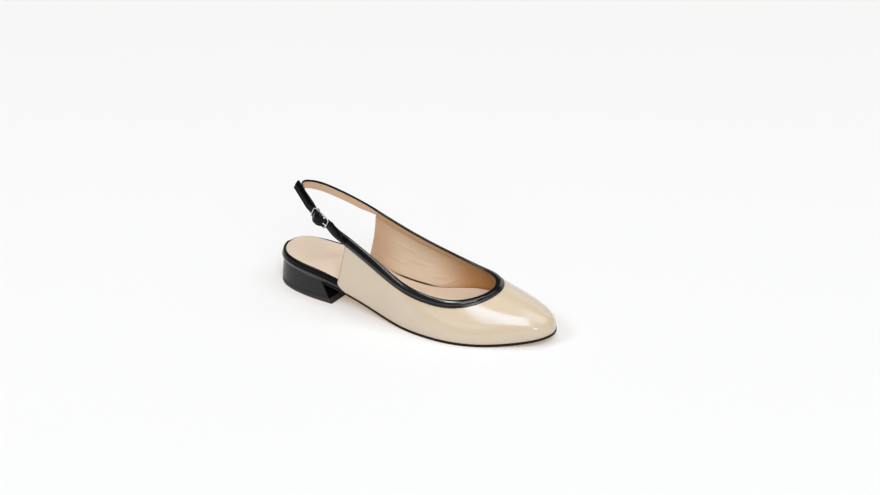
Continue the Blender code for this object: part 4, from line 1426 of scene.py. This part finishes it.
def build_stage(stage):
    """Pale floor, studio light and the camera."""
    scene = bpy.context.scene
    scene.view_settings.view_transform = "Standard"
    bpy.ops.mesh.primitive_plane_add(size=FLOOR_SIZE)
    floor = bpy.context.object
    floor.name = "floor"
    # The floor's glow is painted light: it lifts the shadows round the shoe and warms them as bounce
    # off the cream leather would.
    finish = Finish("floor_paper", emission_color=stage.painted_floor_glow, emission_strength=1.0,
                    specular_ior_level=0.0)
    paper = finish.noise(finish.place(), 700.0, 2.0)
    finish.shade("Base Color", finish.tones(paper, stage.floor, 0.995, 1.0))
    finish.shade("Roughness", 0.75 + 0.1 * paper)
    floor.data.materials.append(finish.material)
    studio_world(stage)
    for box in SOFTBOXES:
        area_light(box, getattr(stage, box.setting))
    data = bpy.data.cameras.new("camera")
    data.sensor_width = SENSOR_WIDTH
    data.lens = stage.focal_pixels / PICTURE_WIDTH * SENSOR_WIDTH
    data.shift_x, data.shift_y = stage.shift_x, stage.shift_y
    scene.camera = stand("camera", data, stage.azimuth, stage.elevation, stage.distance)


def colour_property(name, description, default):
    """Colour that a user may change."""
    return bpy.props.FloatVectorProperty(name=name, description=description, default=default,
                                         subtype="COLOR", size=3, min=0.0, max=1.0)


def size_property(name, description, default):
    """Length that a user may change, given in millimetres."""
    return bpy.props.FloatProperty(name=name, description=description, default=default * MM,
                                   unit="LENGTH", precision=5)


def number_property(name, description, default, **kind):
    """Plain number that a user may change."""
    return bpy.props.FloatProperty(name=name, description=description, default=default, **kind)


class FlatSizes(bpy.types.PropertyGroup):
    """Sizes of the leathers and the sewing."""
    leather: size_property("Leather", "Thickness of the upper's outer leather", 0.9)
    stitch_pitch: size_property("Stitch pitch", "Distance from stitch to stitch", 2.0)
    stitch_length: size_property("Stitch length", "Length of a stitch that shows", 1.6)
    thread_width: size_property("Thread", "Width of the sewing thread", 0.36)
    toe_cup: size_property("Footbed's inner edge", "Rise of the footbed's edge by the great toe", 2.0)
    rand_fall: size_property("Rand's fall", "How much lower the rand is along the inner side", 0.5)
    wire: size_property("Buckle wire", "Radius of the buckle's wire", 0.6)
    sock_gap: size_property("Footbed gap", "Gap between the footbed and the inner waist", 0.6)


class FlatColours(bpy.types.PropertyGroup):
    """Colours of the leathers, thread, sole and metal."""
    cream: colour_property("Cream leather", "Vamp and quarters", (0.65, 0.53, 0.388))
    black: colour_property("Black leather", "Binding, straps, rand and heel", (0.003, 0.003, 0.0034))
    lining: colour_property("Lining", "Inside of the upper", (0.85, 0.70, 0.54))
    strap_lining: colour_property("Strap lining", "Inside of the straps", (0.62, 0.425, 0.285))
    # Also gives the painted shadow under the binding's turned-in edge.
    edge_lining: colour_property("Lining's edge", "Lining along the collar", (0.50, 0.305, 0.16))
    # Painted shade: the lining's colour deep inside the toe, where shade falls.
    toe_lining_shade: colour_property("Toe lining", "Deep inside the toe", (0.52, 0.25, 0.08))
    sock: colour_property("Footbed", "Lining of the footbed", (0.685, 0.552, 0.43))
    sole: colour_property("Sole", "Outsole leather", (0.016, 0.011, 0.009))
    lift: colour_property("Top lift", "Rubber of the top lift", (0.017, 0.015, 0.013))
    metal: colour_property("Buckle", "Buckle metal", (0.58, 0.58, 0.59))
    cream_thread: colour_property("Cream thread", "Stitches of the quarters", (0.11, 0.085, 0.06))
    dark_thread: colour_property("Dark thread", "Stitches of the binding", (0.075, 0.073, 0.070))


class FlatStage(bpy.types.PropertyGroup):
    """Floor, light and camera."""
    # Bluish paper under a warm painted glow: the glow lifts and warms the floor's shadows, and the
    # paper's tint keeps the lit floor neutral.
    floor: colour_property("Floor", "Floor paper", (0.495, 0.578, 0.652))
    painted_floor_glow: colour_property("Floor glow", "Light from under the floor", (0.38, 0.285, 0.20))
    key_light: number_property("Key light", "Radiance of the key soft box", 4.2)
    rear_light: number_property("Rear light", "Radiance of the rear soft box", 1.3)
    back_light: number_property("Back light", "Radiance of the back soft box", 9.0)
    side_light: number_property("Side light", "Radiance of the side soft box", 7.5)
    strip_light: number_property("Low strip", "Radiance of the low strip light", 1.5)
    card_light: number_property("Low card", "Radiance of the small low card", 12.0)
    back_card_light: number_property("Back card", "Radiance of the card behind", 0.6)
    horizon_light: number_property("Horizon", "Light near the floor", 0.06)
    ceiling_light: number_property("Ceiling", "Light overhead", 0.32)
    horizon_low: number_property("Horizon end", "Degrees up where the dark part ends", 36.0)
    horizon_high: number_property("Ceiling start", "Degrees up where the paler part starts", 66.0)
    azimuth: number_property("Azimuth", "Camera's turn round the shoe in degrees", 29.4)
    elevation: number_property("Elevation", "Camera's rise in degrees", 30.4)
    distance: number_property("Distance", "Camera to shoe", 1.445, unit="LENGTH")
    focal_pixels: number_property("Focal length", "In pixels of the picture", 1740.0, subtype="PIXEL")
    shift_x: number_property("Shift X", "Framing across", 0.0292)
    shift_y: number_property("Shift Y", "Framing up", 0.0482)


class FLAT_OT_upper(bpy.types.Operator):
    """Build the upper's leather, lining and edge stitches"""
    bl_idname = "flat.upper"
    bl_label = "Upper"

    def execute(self, context):
        build_upper(context.scene.flat_sizes, context.scene.flat_colours)
        return {"FINISHED"}


class FLAT_OT_binding(bpy.types.Operator):
    """Build the rolled binding round the collar"""
    bl_idname = "flat.binding"
    bl_label = "Binding"

    def execute(self, context):
        build_binding(context.scene.flat_sizes, context.scene.flat_colours)
        return {"FINISHED"}


class FLAT_OT_straps(bpy.types.Operator):
    """Build the heel sling and the buckle strap"""
    bl_idname = "flat.straps"
    bl_label = "Straps"

    def execute(self, context):
        build_straps(context.scene.flat_sizes, context.scene.flat_colours)
        return {"FINISHED"}


class FLAT_OT_buckle(bpy.types.Operator):
    """Build the buckle's frame and prong"""
    bl_idname = "flat.buckle"
    bl_label = "Buckle"

    def execute(self, context):
        build_buckle(context.scene.flat_sizes, context.scene.flat_colours)
        return {"FINISHED"}


class FLAT_OT_footbed(bpy.types.Operator):
    """Build the lined footbed"""
    bl_idname = "flat.footbed"
    bl_label = "Footbed"

    def execute(self, context):
        build_footbed(context.scene.flat_sizes, context.scene.flat_colours)
        return {"FINISHED"}


class FLAT_OT_rand(bpy.types.Operator):
    """Build the band round the heel seat"""
    bl_idname = "flat.rand"
    bl_label = "Rand"

    def execute(self, context):
        build_rand(context.scene.flat_sizes, context.scene.flat_colours)
        return {"FINISHED"}


class FLAT_OT_heel(bpy.types.Operator):
    """Build the heel and its top lift"""
    bl_idname = "flat.heel"
    bl_label = "Heel"

    def execute(self, context):
        build_heel(context.scene.flat_colours)
        return {"FINISHED"}


class FLAT_OT_outsole(bpy.types.Operator):
    """Build the outsole"""
    bl_idname = "flat.outsole"
    bl_label = "Outsole"

    def execute(self, context):
        build_outsole(context.scene.flat_colours)
        return {"FINISHED"}


class FLAT_OT_stage(bpy.types.Operator):
    """Set the floor, the lights and the camera"""
    bl_idname = "flat.stage"
    bl_label = "Stage"

    def execute(self, context):
        build_stage(context.scene.flat_stage)
        return {"FINISHED"}


OPERATORS = (FLAT_OT_upper, FLAT_OT_binding, FLAT_OT_straps, FLAT_OT_buckle, FLAT_OT_footbed,
             FLAT_OT_rand, FLAT_OT_heel, FLAT_OT_outsole, FLAT_OT_stage)
GROUPS = {"flat_sizes": FlatSizes, "flat_colours": FlatColours, "flat_stage": FlatStage}


class FLAT_PT_panel(bpy.types.Panel):
    """Sizes, colours and steps of the shoe"""
    bl_idname = "FLAT_PT_panel"
    bl_label = "Ballet Flat"
    bl_space_type = "VIEW_3D"
    bl_region_type = "UI"
    bl_category = "Flat"

    def draw(self, context):
        for operator in OPERATORS:
            self.layout.operator(operator.bl_idname)
        for name, group in GROUPS.items():
            box = self.layout.box()
            for entry in group.__annotations__:
                box.prop(getattr(context.scene, name), entry)


def register():
    """Register the classes and hang their properties on the scene."""
    for entry in (*GROUPS.values(), *OPERATORS, FLAT_PT_panel):
        bpy.utils.register_class(entry)
    for name, group in GROUPS.items():
        setattr(bpy.types.Scene, name, bpy.props.PointerProperty(type=group))


def unregister():
    """Take the properties and classes away again."""
    for name in GROUPS:
        delattr(bpy.types.Scene, name)
    for entry in reversed((*GROUPS.values(), *OPERATORS, FLAT_PT_panel)):
        bpy.utils.unregister_class(entry)


def main():
    """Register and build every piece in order."""
    register()
    bpy.ops.flat.upper()
    bpy.ops.flat.binding()
    bpy.ops.flat.straps()
    bpy.ops.flat.buckle()
    bpy.ops.flat.footbed()
    bpy.ops.flat.rand()
    bpy.ops.flat.heel()
    bpy.ops.flat.outsole()
    bpy.ops.flat.stage()
    bpy.context.view_layer.update()


if __name__ == "__main__":
    main()
